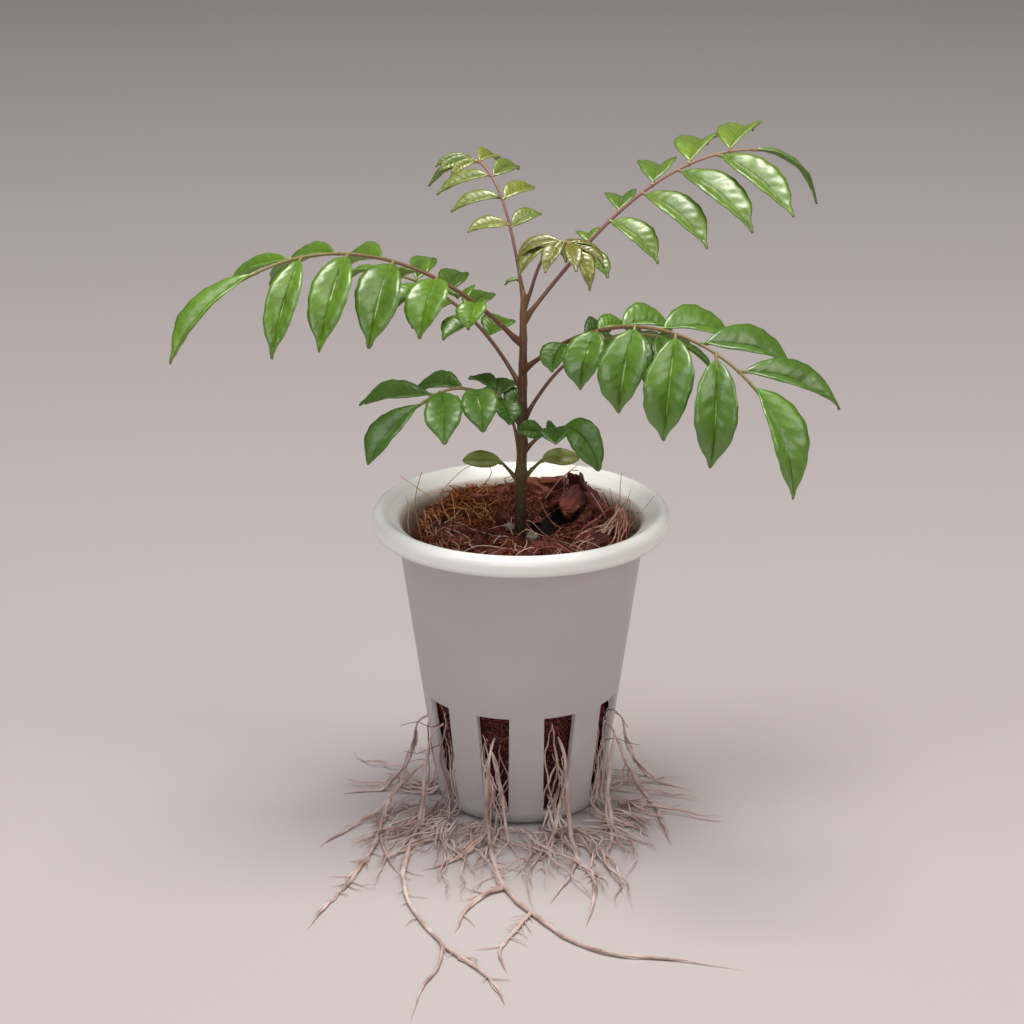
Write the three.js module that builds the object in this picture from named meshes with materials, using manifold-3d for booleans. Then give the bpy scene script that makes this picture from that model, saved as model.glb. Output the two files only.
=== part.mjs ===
// A young curry leaf plant, rooted in a white net pot: slotted pot, coir medium with husk
// chips, one woody stem, feather-shaped fronds and bare roots that spread on the surface.
// Millimetres, +Z up. The origin is the centre of the pot's base, on the surface.
import * as THREE from 'three';
import { mergeVertices } from 'three/addons/utils/BufferGeometryUtils.js';
import Module from 'manifold-3d';

const wasm = await Module();
wasm.setup();

// ---------------------------------------------------------------- driving dimensions

const GAP = 0.3; // clear space between pieces that would touch
const DEG = Math.PI / 180;

const POT = {
  height: 62.7,
  baseRadius: 16.5, // where the wall's slope would meet the surface
  wallTopRadius: 24.9, // outside of the wall, just under the lip
  wall: 1.2,
  floor: 1.5,
  flare: 6, // height where the inside of the foot meets the wall's slope
  foot: 3.5, // round of the bottom edge
  lipRadius: 30,
  lipUnderside: 58.4,
  lipTurn: { radius: 26.3, drop: 2.3, reach: [2.6, 2.2] }, // inner curve of the lip
  ribs: 9,
  ribWidth: 6.8,
  ribTurn: -86.6, // direction of the front rib's centre line, degrees
  slotBottom: 3.2,
  slotTop: 24,
  segments: 54,
};
const TAPER = (POT.wallTopRadius - POT.baseRadius) / POT.lipUnderside;

const MEDIUM = {
  bottom: 2,
  centre: 57.4,
  edge: 57.2,
  sides: 30,
  clearance: 0.4,
  footInset: 0.8, // how far the medium's foot stands in from the floor's edge
  grain: 0.5,
  topRings: [2.5, 5.5, 8.5, 11.5, 14.5, 17.5, 20.5], // radii
  sideHeights: [40, 24, 6],
  seed: 5,
};

// Lumps and hollows of the medium's top: [x, y, height, spread].
const MOUNDS = [
  [-13, 12, 3.9, 9],
  [-14, -6, 1.6, 6],
  [-1, 21, 2.6, 8],
  [10, 17, 3.6, 8],
  [17, 3, 2.6, 6],
  [3, -16, 1, 6],
  [2, -3.5, -3.2, 4.2],
  [9.5, 1.5, -4.2, 4.2],
];

// Husk chips half sunk in the medium: [x, y, lift, turn, tilt, roll, length, width, thickness].
const CHIPS = [
  [11.5, 12.5, 0.5, 20, -12, 12, 8, 5, 2.2],
  [3.5, 16.5, 0.4, -35, 12, -10, 7, 4, 2],
  [16.5, 5, 0.7, 75, 20, 12, 7, 4, 2.2],
  [14, -8.5, 0.5, 40, -14, 6, 8, 5, 2.4],
  [5.5, -14, 0.3, -12, 8, 12, 7.5, 4, 2],
  [-6, -15.5, 0.2, 24, -10, -8, 7, 3.6, 1.8],
  [-16, -2, 0.4, 85, 8, 10, 6.5, 3.6, 1.8],
  [-4.5, 5, 0.3, -50, -9, 6, 6, 3.2, 1.8],
];
const SEAT_ROOM = 0.6; // how much larger a chip's seat is than the chip

// Loose coir fibres that stand out of the medium.
const FIBRES = [
  [[-19.5, -5, 56], [-20.6, -5, 61.5], [-21, -5, 66], [-19.6, -5, 72]],
  [[-15.5, 7, 57], [-17, 7, 61], [-20.5, 7, 64], [-26, 7, 67]],
  [[19, -1, 56], [16.5, -1, 62], [14.2, -1, 66]],
  [[19.4, -3, 56], [19.6, -3, 63], [20, -3, 71]],
];
const FIBRE = { radius: 0.4, steps: 5, sides: 4 };

const STEM = {
  path: [
    [-0.2, 0, 44.5], [-0.2, 0, 57], [0.15, 0, 75.2], [0.35, 0, 92.2], [0.45, 0, 103.2], [0.56, 0, 110.5],
  ],
  radii: [1.05, 0.55],
  thinning: 1.4, // power of the taper: the stem thins mostly near its tip
  tip: { length: 0.7, radius: 0.5 }, // as shares of the radius at the top
  hole: 1.5,
  steps: 10,
  sides: 8,
};

// A frond leaves the stem at height z and its rachis follows a heading az and an elevation el
// (degrees, from the stem to the tip, with power k on the elevation) over its length.
// Leaflet pairs stand between the shares `from` and `to` of the rachis. The far side's are
// shifted by `stagger` of a pair. They part from the rachis by `spread`, rise by `rise` at
// their base and `droop` at their tip, and grow from size[0] to size[1]. `lean` tips the two
// rows against each other, and `roll` turns each blade about its midrib. `swell` above 1 makes
// the leaflets reach their full size before the last pair. `ratio` is a blade's width over its
// length and `fold` lifts its margins. `end` is the leaflet at the tip.
const FRONDS = {
  seed_leaf_left: {
    z: 70, az: [178, 181], el: [52, 44], k: 1, length: 3.4, pairs: 0, rachis: [0.5, 0.42],
    ratio: 0.58, fold: 8, end: { length: 7.6, droop: -8, rise: 14, turn: 4, roll: -38 },
  },
  seed_leaf_right: {
    z: 70.6, az: [2, -1], el: [50, 40], k: 1, length: 3.4, pairs: 0, rachis: [0.5, 0.42],
    ratio: 0.56, fold: 8, end: { length: 7.6, droop: -6, rise: 16, turn: -4, roll: 38 },
  },
  frond_low_right: {
    z: 75.8, az: [-35, -51], el: [48, 10], k: 1.5, length: 10.6, pairs: 2, from: 0.5, to: 0.81,
    stagger: 0.1, spread: [105, 38], lean: -15, rise: [11, -4], droop: [-13, -35],
    size: [5, 6.5], swell: 1, rachis: [0.55, 0.42], ratio: 0.56, fold: 16, roll: 10,
    end: { length: 14.4, droop: -78, rise: 24, turn: 8, roll: 34 },
  },
  frond_low_back: {
    z: 76.6, az: [126, 132], el: [73, 26], k: 1.3, length: 10.8, pairs: 2, from: 0.63, to: 0.9,
    stagger: 0.4, spread: [77, 61], lean: -5, rise: [32, 11], droop: [-6, -21],
    size: [6.5, 9], swell: 1, rachis: [0.5, 0.4], ratio: 0.5, fold: 22, roll: 0,
    end: { length: 9.3, droop: -22, turn: -4 },
  },
  frond_low_left: {
    z: 81.7, az: [206, 222], el: [51, -23], k: 1.3, length: 24.6, pairs: 3, from: 0.27, to: 0.89,
    stagger: -0.2, spread: [83, 57], lean: -4.5, rise: [20, 10], droop: [-59, -47],
    size: [5, 16], swell: 1, rachis: [0.58, 0.4], ratio: 0.46, fold: 20, roll: 0,
    end: { length: 17, droop: -55, turn: -6.6 },
  },
  frond_back_right: {
    z: 83.4, az: [14, -12], el: [58, -22], k: 1.44, length: 35, pairs: 4, from: 0.42, to: 0.88,
    stagger: 0.1, spread: [75, 65], lean: 4, rise: [12, -3], droop: [-59, -65],
    size: [6.5, 13.6], swell: 1, rachis: [0.6, 0.4], ratio: 0.46, fold: 22, roll: 0,
    end: { length: 9, droop: -50, turn: 2 },
  },
  frond_back_left: {
    z: 88.7, az: [128, 160], el: [42, 3], k: 1.6, length: 38.5, pairs: 4, from: 0.3, to: 0.81,
    stagger: 0.6, spread: [77, 75], lean: -11, rise: [17, 11], droop: [-24, -29],
    size: [8.5, 14], swell: 1.1, rachis: [0.6, 0.4], ratio: 0.46, fold: 22, roll: 0,
    end: { length: 13, droop: -60, turn: -3 },
  },
  frond_right: {
    z: 92.6, az: [-45, -36], el: [38, -37], k: 1.5, length: 60, pairs: 5, from: 0.2, to: 0.85,
    stagger: 0.6, spread: [82, 53], lean: 23, rise: [9, -12], droop: [-73, -83],
    size: [6.5, 23], swell: 1, rachis: [0.68, 0.42], ratio: 0.42, fold: 20, roll: 0,
    end: { length: 24, droop: -88, turn: -8 },
  },
  frond_left: {
    z: 98, az: [180, 203], el: [46, -20], k: 1.35, length: 57.5, pairs: 5, from: 0.22, to: 0.87,
    stagger: -0.2, spread: [64, 55], lean: -9, rise: [13, -6], droop: [-66, -74],
    size: [7, 23], swell: 1.4, rachis: [0.68, 0.42], ratio: 0.41, fold: 22, roll: 0,
    end: { length: 25, droop: -64, turn: 3 },
  },
  frond_top_right: {
    z: 103, az: [32, 17], el: [44, -4], k: 2.4, length: 58, pairs: 5, from: 0.3, to: 0.87,
    stagger: 0.3, spread: [69, 65], lean: 10, rise: [14, 10], droop: [-47, -32],
    size: [9, 21], swell: 1.1, rachis: [0.62, 0.4], ratio: 0.4, fold: 26, roll: 14,
    end: { length: 19, droop: -79, turn: -12 },
  },
  frond_top_back: {
    z: 108.8, az: [112, 119], el: [64, -14], k: 2.3, length: 33, pairs: 4, from: 0.35, to: 0.89,
    stagger: 0.1, spread: [72, 46], lean: -9, rise: [15, -3], droop: [-16, -38],
    size: [8.5, 12], swell: 1.2, rachis: [0.5, 0.38], ratio: 0.38, fold: 26, roll: 22,
    end: { length: 17, droop: -29, turn: -5 },
  },
  frond_bud: {
    z: 108, az: [-8, -52], el: [74, -10], k: 2.2, length: 16, pairs: 3, from: 0.7, to: 0.97,
    stagger: 0.1, spread: [98, 35], lean: -2, rise: [-1, -2], droop: [-67, -53],
    size: [9, 8], swell: 1, rachis: [0.5, 0.42], ratio: 0.36, fold: 36, roll: 0,
    end: { length: 11, droop: -88, turn: -7 },
  },
};

const BLADE = {
  thickness: 0.62,
  tipHalfWidth: 0.4,
  shares: [0, 0.14, 0.34, 0.58, 0.82, 1], // cross-sections along the midrib
  baseFullness: 0.78,
  tipFullness: 0.98,
};
const RACHIS = { steps: 40, rings: 9, sides: 4, clearance: 0.05 };

// Roots: every node is one tree. A branch starts on a point of the route that it grows from.
// A route is [first radius, last radius, points]. A point without a height lies on the surface.
const ROOT_TREES = {
  roots_left: [
    [0.8, 0.45, [[-15.6, -10.3, 20], [-17.8, -11.4, 18.4], [-19.1, -11.8, 12.5], [-19.6, -12.4, 7],
      [-20.1, -14, 2.4], [-21.8, -23.7], [-23.1, -40.2], [-21.8, -52.2], [-19.3, -61.2],
      [-15.1, -71.9], [-15.7, -80.7], [-18.4, -89.5], [-20.2, -101.7]]],
    [0.6, 0.4, [[-15.1, -71.9], [-11.2, -77.3], [-5.6, -86.5], [-3.1, -96]]],
    [0.6, 0.5, [[-19.1, -11.8, 12.5], [-22.7, -10.6, 8.5], [-26.4, -9.4, 3.8], [-28.2, -14],
      [-28.1, -21.5], [-25.3, -36], [-23.1, -40.2]]],
    [0.6, 0.4, [[-28.2, -14], [-28.9, -23.5], [-32, -37.9], [-34.6, -45.8], [-38.1, -55.4], [-40.6, -63.8]]],
    [0.5, 0.4, [[-26.4, -9.4, 3.8], [-30, -10.8], [-34.4, -17.8], [-40, -26]]],
  ],
  roots_front_left: [
    [0.85, 0.4, [[-5.3, -17.9, 20], [-6, -20.4, 18.6], [-6.7, -21.7, 12], [-6.9, -21.6, 6], [-6.5, -23, 2],
      [-5.6, -32.7], [-3.5, -45.8], [1.9, -57.6], [9.4, -69.5], [16.9, -75.5], [28.8, -77.8], [41.5, -81.9]]],
    [0.55, 0.4, [[-3.5, -45.8], [-8.2, -50.8], [-11.2, -58.3], [-12.6, -65.3]]],
    [0.55, 0.4, [[1.9, -57.6], [-1.4, -66], [-4.1, -74.3], [-2.7, -82.8]]],
    [0.55, 0.4, [[-6, -20.4, 18.6], [-4.4, -21.9, 12], [-3.5, -22, 5.5], [-2, -26], [-0.6, -32.5]]],
    [0.5, 0.4, [[-6.5, -23, 2], [-13.5, -33.5], [-19.5, -37.6]]],
  ],
  roots_front_right: [
    [0.8, 0.45, [[7.4, -17.2, 20], [8.3, -19.6, 18.6], [9.1, -20.8, 13], [9.5, -21, 7], [10, -22.4, 2],
      [11.1, -32.7], [9.6, -40.8], [5.6, -52.7]]],
    [0.6, 0.4, [[9.1, -20.8, 13], [7.8, -21.4, 7], [6.8, -22.6, 2], [3.6, -32], [1.8, -37.8], [2.1, -46.3]]],
    [0.55, 0.4, [[11.1, -32.7], [14, -41.3], [14.2, -50.8], [12.4, -62.5]]],
  ],
  roots_right: [
    [0.75, 0.45, [[16.7, -8.4, 20], [18.6, -10, 18.4], [18.2, -12.2, 12], [17.6, -13.6, 6], [18.1, -16, 2],
      [18.2, -22.7], [17, -31.8], [18.4, -44.3]]],
    [0.55, 0.4, [[18.6, -10, 18.4], [21, -7.8, 11], [24, -5.6, 5], [27.2, -6.8], [28.8, -16], [29.9, -25.6]]],
    [0.5, 0.4, [[18.1, -16, 2], [22.6, -17], [25.7, -21.3]]],
  ],
  roots_far_right: [
    [0.6, 0.4, [[18.1, 4.3, 17], [20.5, 4.9, 15.6], [22, 5.3, 9], [25, 6, 3], [29.5, 5], [35, 2]]],
  ],
  roots_far_left: [
    [0.6, 0.4, [[-18.5, 2.1, 17], [-20.9, 2.4, 15.6], [-22.2, 2.6, 9], [-25.5, 2.6, 3], [-30, 1.5],
      [-37, 0]]],
  ],
  roots_back: [
    [0.6, 0.4, [[-1.1, 18.6, 17], [-1.2, 21, 15.4], [-1.6, 22.6, 8], [-3, 27, 2.4], [-5, 33], [-4, 40]]],
  ],
};
const ROOT = { lift: 0.2, spacing: 6, sides: 4 };
const ROOTLET = {
  every: 13, // mm of root to one side shoot
  first: 0.6, // place of the first one, as a share of that
  length: [3, 5.5],
  angle: [40, 65],
  radius: 0.4,
  sides: 3,
  lowest: 1, // a shoot leaves a root only where it is this close to the surface
  seed: 11,
};

// ---------------------------------------------------------------- materials

const material = (color, roughness) => new THREE.MeshStandardMaterial({ color, roughness, metalness: 0 });
const MATERIALS = {
  pot: material('#d9d8d2', 0.45),
  medium: material('#4a2416', 0.95),
  chip: material('#5b2a1c', 0.85),
  stem: material('#4a3a22', 0.6),
  leaf: material('#4f8a1f', 0.4),
  youngLeaf: material('#8ea63a', 0.35),
  root: material('#b99a86', 0.8),
};

// ---------------------------------------------------------------- helpers

const lerp = (range, share) => range[0] + (range[1] - range[0]) * share;
const vector = ([x, y, z]) => new THREE.Vector3(x, y, z);

// A repeatable stream of numbers from 0 to 1.
function randomStream(seed) {
  let state = seed;
  return () => {
    state = (state * 1664525 + 1013904223) % 4294967296;
    return state / 4294967296;
  };
}

// Unit vector of a heading and an elevation in degrees.
function direction(heading, elevation) {
  const [h, e] = [heading * DEG, elevation * DEG];
  return new THREE.Vector3(Math.cos(e) * Math.cos(h), Math.cos(e) * Math.sin(h), Math.sin(e));
}

// A closed skin over cross-sections with equal point counts. From column `turned` on, the
// quads are split the other way, so that a blade's two faces are split alike.
function loft(rings, { turned = Infinity, capCentre = 0 } = {}) {
  const count = rings[0].length;
  const faces = [];
  for (let i = 0; i + 1 < rings.length; i++) {
    for (let j = 0; j < count; j++) {
      const [a, b] = [i * count + j, i * count + ((j + 1) % count)];
      const [c, d] = [a + count, b + count];
      if (j < turned) faces.push(a, b, d, a, d, c);
      else faces.push(a, b, c, b, d, c);
    }
  }
  const last = (rings.length - 1) * count;
  for (let j = 1; j + 1 < count; j++) {
    const [p, q] = [(capCentre + j) % count, (capCentre + j + 1) % count];
    faces.push(capCentre, q, p, last + capCentre, last + p, last + q);
  }
  const geometry = new THREE.BufferGeometry().setFromPoints(rings.flat());
  geometry.setIndex(faces);
  return geometry;
}

// A tube along points, with a radius at each.
function tube(points, radii, sides) {
  const across = new THREE.Vector3(0.31, 0.87, 0.38);
  const rings = points.map((point, i) => {
    const ahead = points[Math.min(i + 1, points.length - 1)];
    const behind = points[Math.max(i - 1, 0)];
    const along = ahead.clone().sub(behind).normalize();
    across.addScaledVector(along, -across.dot(along)).normalize();
    const up = along.clone().cross(across);
    return Array.from({ length: sides }, (_, j) => {
      const angle = (j / sides) * 2 * Math.PI;
      return point.clone()
        .addScaledVector(across, radii[i] * Math.cos(angle))
        .addScaledVector(up, radii[i] * Math.sin(angle));
    });
  });
  return loft(rings);
}

// A three.js geometry as a solid, with its faces out.
function solid(geometry) {
  const bare = geometry.clone();
  bare.deleteAttribute('normal');
  bare.deleteAttribute('uv');
  const merged = mergeVertices(bare, 1e-4);
  const positions = merged.getAttribute('position').array;
  const index = merged.getIndex().array;
  const corner = (i) => new THREE.Vector3().fromArray(positions, 3 * i);
  const triangles = [];
  let volume = 0;
  for (let i = 0; i < index.length; i += 3) {
    const [a, b, c] = [index[i], index[i + 1], index[i + 2]];
    if (a === b || b === c || c === a) continue;
    triangles.push([a, b, c]);
    volume += corner(a).dot(corner(b).cross(corner(c)));
  }
  const facing = volume < 0 ? triangles.map(([a, b, c]) => [a, c, b]) : triangles;
  return new wasm.Manifold(new wasm.Mesh({
    numProp: 3,
    vertProperties: Float32Array.from(positions),
    triVerts: Uint32Array.from(facing.flat()),
  }));
}

const fuse = (solids) => solids.reduce((whole, piece) => whole.add(piece));
const cut = (whole, cutters) => cutters.reduce((left, cutter) => left.subtract(cutter), whole);

const part = new THREE.Group();

function addMesh(name, body, finish) {
  const { vertProperties, triVerts } = body.getMesh();
  const geometry = new THREE.BufferGeometry();
  geometry.setAttribute('position', new THREE.BufferAttribute(Float32Array.from(vertProperties), 3));
  geometry.setIndex([...triVerts]);
  geometry.computeVertexNormals();
  const mesh = new THREE.Mesh(geometry, finish);
  mesh.name = name;
  part.add(mesh);
}

// ---------------------------------------------------------------- net pot

const wallRadius = (z) => POT.baseRadius + TAPER * z;
const innerRadius = (z) => wallRadius(z) - POT.wall;

// Points of an elliptical arc in the lathe's half plane, from one angle to another in degrees.
function arc([x, y], [rx, ry], [start, end], steps) {
  return Array.from({ length: steps + 1 }, (_, i) => {
    const angle = lerp([start, end], i / steps) * DEG;
    return new THREE.Vector2(x + rx * Math.cos(angle), y + ry * Math.sin(angle));
  });
}

function potProfile() {
  const lipHalf = (POT.height - POT.lipUnderside) / 2;
  const lipMiddle = POT.lipUnderside + lipHalf;
  const flat = wallRadius(POT.foot) - POT.foot;
  return [
    new THREE.Vector2(0, 0),
    ...arc([flat, POT.foot], [POT.foot, POT.foot], [-90, 0], 3),
    new THREE.Vector2(POT.wallTopRadius, POT.lipUnderside),
    ...arc([POT.lipRadius - lipHalf, lipMiddle], [lipHalf, lipHalf], [-90, 90], 6),
    ...arc([POT.lipTurn.radius, POT.height - POT.lipTurn.drop], POT.lipTurn.reach, [90, 180], 3),
    new THREE.Vector2(innerRadius(POT.lipUnderside), POT.lipUnderside),
    new THREE.Vector2(innerRadius(POT.flare), POT.flare),
    new THREE.Vector2(flat, POT.floor),
    new THREE.Vector2(0, POT.floor),
  ];
}

// The slot between two ribs whose sides are parallel: a wedge seen from above.
function slotCutter(middle) {
  const half = 180 / POT.ribs;
  const apex = POT.ribWidth / 2 / Math.sin(half * DEG);
  const reach = POT.lipRadius;
  const corner = (distance, angle) => {
    const start = new THREE.Vector2(apex, 0).rotateAround(new THREE.Vector2(), middle * DEG);
    return start.add(new THREE.Vector2(distance, 0).rotateAround(new THREE.Vector2(), angle * DEG));
  };
  const corners = [corner(0, middle), corner(reach, middle - half), corner(reach, middle + half)];
  const depth = POT.slotTop - POT.slotBottom;
  const wedge = new THREE.ExtrudeGeometry(new THREE.Shape(corners), { depth, bevelEnabled: false });
  return solid(wedge.translate(0, 0, POT.slotBottom));
}

function makePot() {
  const body = solid(new THREE.LatheGeometry(potProfile(), POT.segments).rotateX(Math.PI / 2));
  const pitch = 360 / POT.ribs;
  const slots = Array.from({ length: POT.ribs }, (_, i) => slotCutter(POT.ribTurn + pitch * (i + 0.5)));
  addMesh('net_pot', cut(body, slots), MATERIALS.pot);
}

// ---------------------------------------------------------------- medium, chips and fibres

// Height of the medium's top, without its grain.
function mediumTop(x, y) {
  const bowl = lerp([MEDIUM.centre, MEDIUM.edge], Math.min(Math.hypot(x, y) / innerRadius(MEDIUM.edge), 1));
  return MOUNDS.reduce((z, [mx, my, height, spread]) => {
    const distance = Math.hypot(x - mx, y - my) / spread;
    return z + height * Math.exp(-distance * distance);
  }, bowl);
}

function mediumRings() {
  const random = randomStream(MEDIUM.seed);
  const grain = () => (random() - 0.5) * 2 * MEDIUM.grain;
  const ring = (place) => Array.from({ length: MEDIUM.sides }, (_, j) => {
    const angle = (j / MEDIUM.sides) * 2 * Math.PI;
    const [radius, z] = place(Math.cos(angle), Math.sin(angle));
    return new THREE.Vector3(radius * Math.cos(angle), radius * Math.sin(angle), z);
  });
  const wallClear = (z) => innerRadius(Math.min(z, POT.lipUnderside)) - MEDIUM.clearance;
  const top = MEDIUM.topRings
    .map((radius) => ring((c, s) => [radius, mediumTop(radius * c, radius * s) + grain()]));
  const rim = ring((c, s) => {
    const z = mediumTop(wallClear(MEDIUM.edge) * c, wallClear(MEDIUM.edge) * s) - MEDIUM.grain;
    return [wallClear(z), z];
  });
  const side = MEDIUM.sideHeights.map((z) => ring(() => [wallClear(z), z]));
  const foot = ring(() => [wallRadius(POT.foot) - POT.foot - MEDIUM.footInset, MEDIUM.bottom]);
  return [...top, rim, ...side, foot];
}

function chipGeometry([x, y, lift, turn, tilt, roll, length, width, thickness], extra = 0) {
  const box = new THREE.BoxGeometry(length + extra, width + extra, thickness + extra);
  const euler = new THREE.Euler(roll * DEG, tilt * DEG, turn * DEG, 'ZYX');
  box.applyMatrix4(new THREE.Matrix4().makeRotationFromEuler(euler));
  return box.translate(x, y, mediumTop(x, y) + lift);
}

function makeMedium() {
  const fibres = FIBRES.map((route) => {
    const points = new THREE.CatmullRomCurve3(route.map(vector)).getPoints(FIBRE.steps);
    return solid(tube(points, points.map(() => FIBRE.radius), FIBRE.sides));
  });
  const holeDepth = POT.height - STEM.path[0][2];
  const hole = new THREE.CylinderGeometry(STEM.hole, STEM.hole, holeDepth, 12).rotateX(Math.PI / 2);
  hole.translate(STEM.path[0][0], 0, STEM.path[0][2] - GAP + holeDepth / 2);
  const seats = CHIPS.map((chip) => solid(chipGeometry(chip, SEAT_ROOM)));
  const body = fuse([solid(loft(mediumRings())), ...fibres]);
  addMesh('coir_medium', cut(body, [solid(hole), ...seats]), MATERIALS.medium);
  CHIPS.forEach((chip, i) => addMesh(`husk_chip_${i + 1}`, solid(chipGeometry(chip)), MATERIALS.chip));
}

// ---------------------------------------------------------------- stem

// The stem's centre and radius at a height.
function stemAt(z) {
  const [bottom, top] = [STEM.path[0][2], STEM.path.at(-1)[2]];
  const upper = Math.max(STEM.path.findIndex((point) => point[2] >= z), 1);
  const [a, b] = [vector(STEM.path[upper - 1]), vector(STEM.path[upper])];
  return {
    centre: a.clone().lerp(b, (z - a.z) / (b.z - a.z)),
    radius: lerp(STEM.radii, THREE.MathUtils.clamp((z - bottom) / (top - bottom), 0, 1) ** STEM.thinning),
  };
}

function makeStem() {
  const [bottom, top] = [STEM.path[0][2], STEM.path.at(-1)[2]];
  const rings = Array.from({ length: STEM.steps + 1 }, (_, i) => stemAt(lerp([bottom, top], i / STEM.steps)));
  const points = rings.map(({ centre }) => centre);
  const radii = rings.map(({ radius }) => radius);
  const tip = points.at(-1).clone().add(new THREE.Vector3(0, 0, radii.at(-1) * STEM.tip.length));
  const tipRadius = radii.at(-1) * STEM.tip.radius;
  addMesh('stem', solid(tube([...points, tip], [...radii, tipRadius], STEM.sides)), MATERIALS.stem);
}

// ---------------------------------------------------------------- fronds

// Points along a frond's rachis, each with its heading and elevation.
function rachisPath(frond) {
  const start = stemAt(frond.z);
  const radius = frond.rachis[0];
  const clear = start.radius + GAP + radius * Math.sin(frond.el[0] * DEG) + RACHIS.clearance;
  const point = start.centre.clone().addScaledVector(direction(frond.az[0], 0), clear);
  const path = [{ point: point.clone(), az: frond.az[0], el: frond.el[0] }];
  for (let i = 0; i < RACHIS.steps; i++) {
    const share = (i + 0.5) / RACHIS.steps;
    const az = lerp(frond.az, share);
    const el = lerp(frond.el, share ** frond.k);
    point.addScaledVector(direction(az, el), frond.length / RACHIS.steps);
    path.push({ point: point.clone(), az, el });
  }
  return path;
}

// The place on a rachis at a share of its length.
function rachisAt(path, share) {
  const x = THREE.MathUtils.clamp(share, 0, 1) * RACHIS.steps;
  const i = Math.min(Math.floor(x), RACHIS.steps - 1);
  const [a, b] = [path[i], path[i + 1]];
  return {
    point: a.point.clone().lerp(b.point, x - i),
    az: lerp([a.az, b.az], x - i),
    el: lerp([a.el, b.el], x - i),
  };
}

// Width of a blade along its midrib, as a share of its greatest width.
function bladeWidth(t) {
  const { baseFullness: a, tipFullness: b } = BLADE;
  const widest = a / (a + b);
  return (t ** a * (1 - t) ** b) / (widest ** a * (1 - widest) ** b);
}

// A thin leaf that arches along its midrib from elevation rise to elevation droop, folded up
// along it, and turned about it by roll.
function blade({ base, heading, rise, droop, length, ratio, fold, roll = 0 }) {
  const bend = (droop - rise) * DEG;
  const level = direction(heading, 0);
  const flatSide = new THREE.Vector3(-level.y, level.x, 0);
  const half = BLADE.thickness / 2 / Math.cos(fold * DEG);
  const rings = BLADE.shares.map((t) => {
    const elevation = lerp([rise, droop], t) * DEG;
    const point = base.clone()
      .addScaledVector(level, (length * (Math.sin(elevation) - Math.sin(rise * DEG))) / bend)
      .add(new THREE.Vector3(0, 0, (length * (Math.cos(rise * DEG) - Math.cos(elevation))) / bend));
    const along = direction(heading, elevation / DEG);
    const side = flatSide.clone().applyAxisAngle(along, roll * DEG);
    const normal = along.clone().cross(side);
    const reach = Math.max((length * ratio * bladeWidth(t)) / 2, BLADE.tipHalfWidth);
    const place = (across, up) => point.clone().addScaledVector(side, across).addScaledVector(normal, up);
    const [out, lift] = [reach * Math.cos(fold * DEG), reach * Math.sin(fold * DEG)];
    return [
      place(out, lift + half), place(0, half), place(-out, lift + half),
      place(-out, lift - half), place(0, -half), place(out, lift - half),
    ];
  });
  return loft(rings, { turned: 3, capCentre: 1 });
}

// The leaflets of a frond: two rows of pairs, and the end leaflet.
function leaflets(frond, path) {
  const { pairs, end, ratio, fold } = frond;
  const rows = [[-1, 0], [1, frond.stagger]];
  const sideLeaflets = rows.flatMap(([side, shift]) => Array.from({ length: pairs }, (_, j) => {
    const share = j / Math.max(pairs - 1, 1);
    const along = lerp([frond.from, frond.to], (j + shift) / Math.max(pairs - 1, 1));
    const { point, az } = rachisAt(path, along);
    const growth = Math.sin(Math.min(share * frond.swell, 1) * Math.PI / 2);
    return {
      along,
      base: point,
      heading: az + side * lerp(frond.spread, share),
      rise: lerp(frond.rise, share) + side * frond.lean,
      droop: lerp(frond.droop, share) + side * frond.lean,
      length: lerp(frond.size, growth),
      roll: -side * frond.roll,
      ratio,
      fold,
    };
  }).filter((leaflet) => leaflet.along <= 1));
  const tip = rachisAt(path, 1);
  const endLeaflet = {
    base: tip.point,
    heading: tip.az + end.turn,
    rise: end.rise ?? tip.el,
    droop: end.droop,
    length: end.length,
    roll: end.roll ?? 0,
    ratio,
    fold,
  };
  return [...sideLeaflets, endLeaflet];
}

function makeFrond(name, frond) {
  const path = rachisPath(frond);
  const shares = Array.from({ length: RACHIS.rings + 1 }, (_, i) => i / RACHIS.rings);
  const points = shares.map((share) => rachisAt(path, share).point);
  const rachis = solid(tube(points, shares.map((share) => lerp(frond.rachis, share)), RACHIS.sides));
  const blades = leaflets(frond, path).map((leaflet) => solid(blade(leaflet)));
  addMesh(name, fuse([rachis, ...blades]), name === 'frond_bud' ? MATERIALS.youngLeaf : MATERIALS.leaf);
}

// ---------------------------------------------------------------- roots

// Points and radii along a root, kept just above the surface.
function rootCourse([firstRadius, lastRadius, route]) {
  const points = route.map(([x, y, z = 0]) => new THREE.Vector3(x, y, z));
  const curve = new THREE.CatmullRomCurve3(points, false, 'centripetal');
  const stretches = points.length - 1;
  const steps = stretches * Math.max(1, Math.round(curve.getLength() / stretches / ROOT.spacing));
  const course = curve.getPoints(steps);
  const radii = course.map((_, i) => lerp([firstRadius, lastRadius], i / steps));
  course.forEach((point, i) => {
    point.z = Math.max(point.z, radii[i] + ROOT.lift);
  });
  return { course, radii, length: curve.getLength() };
}

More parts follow.
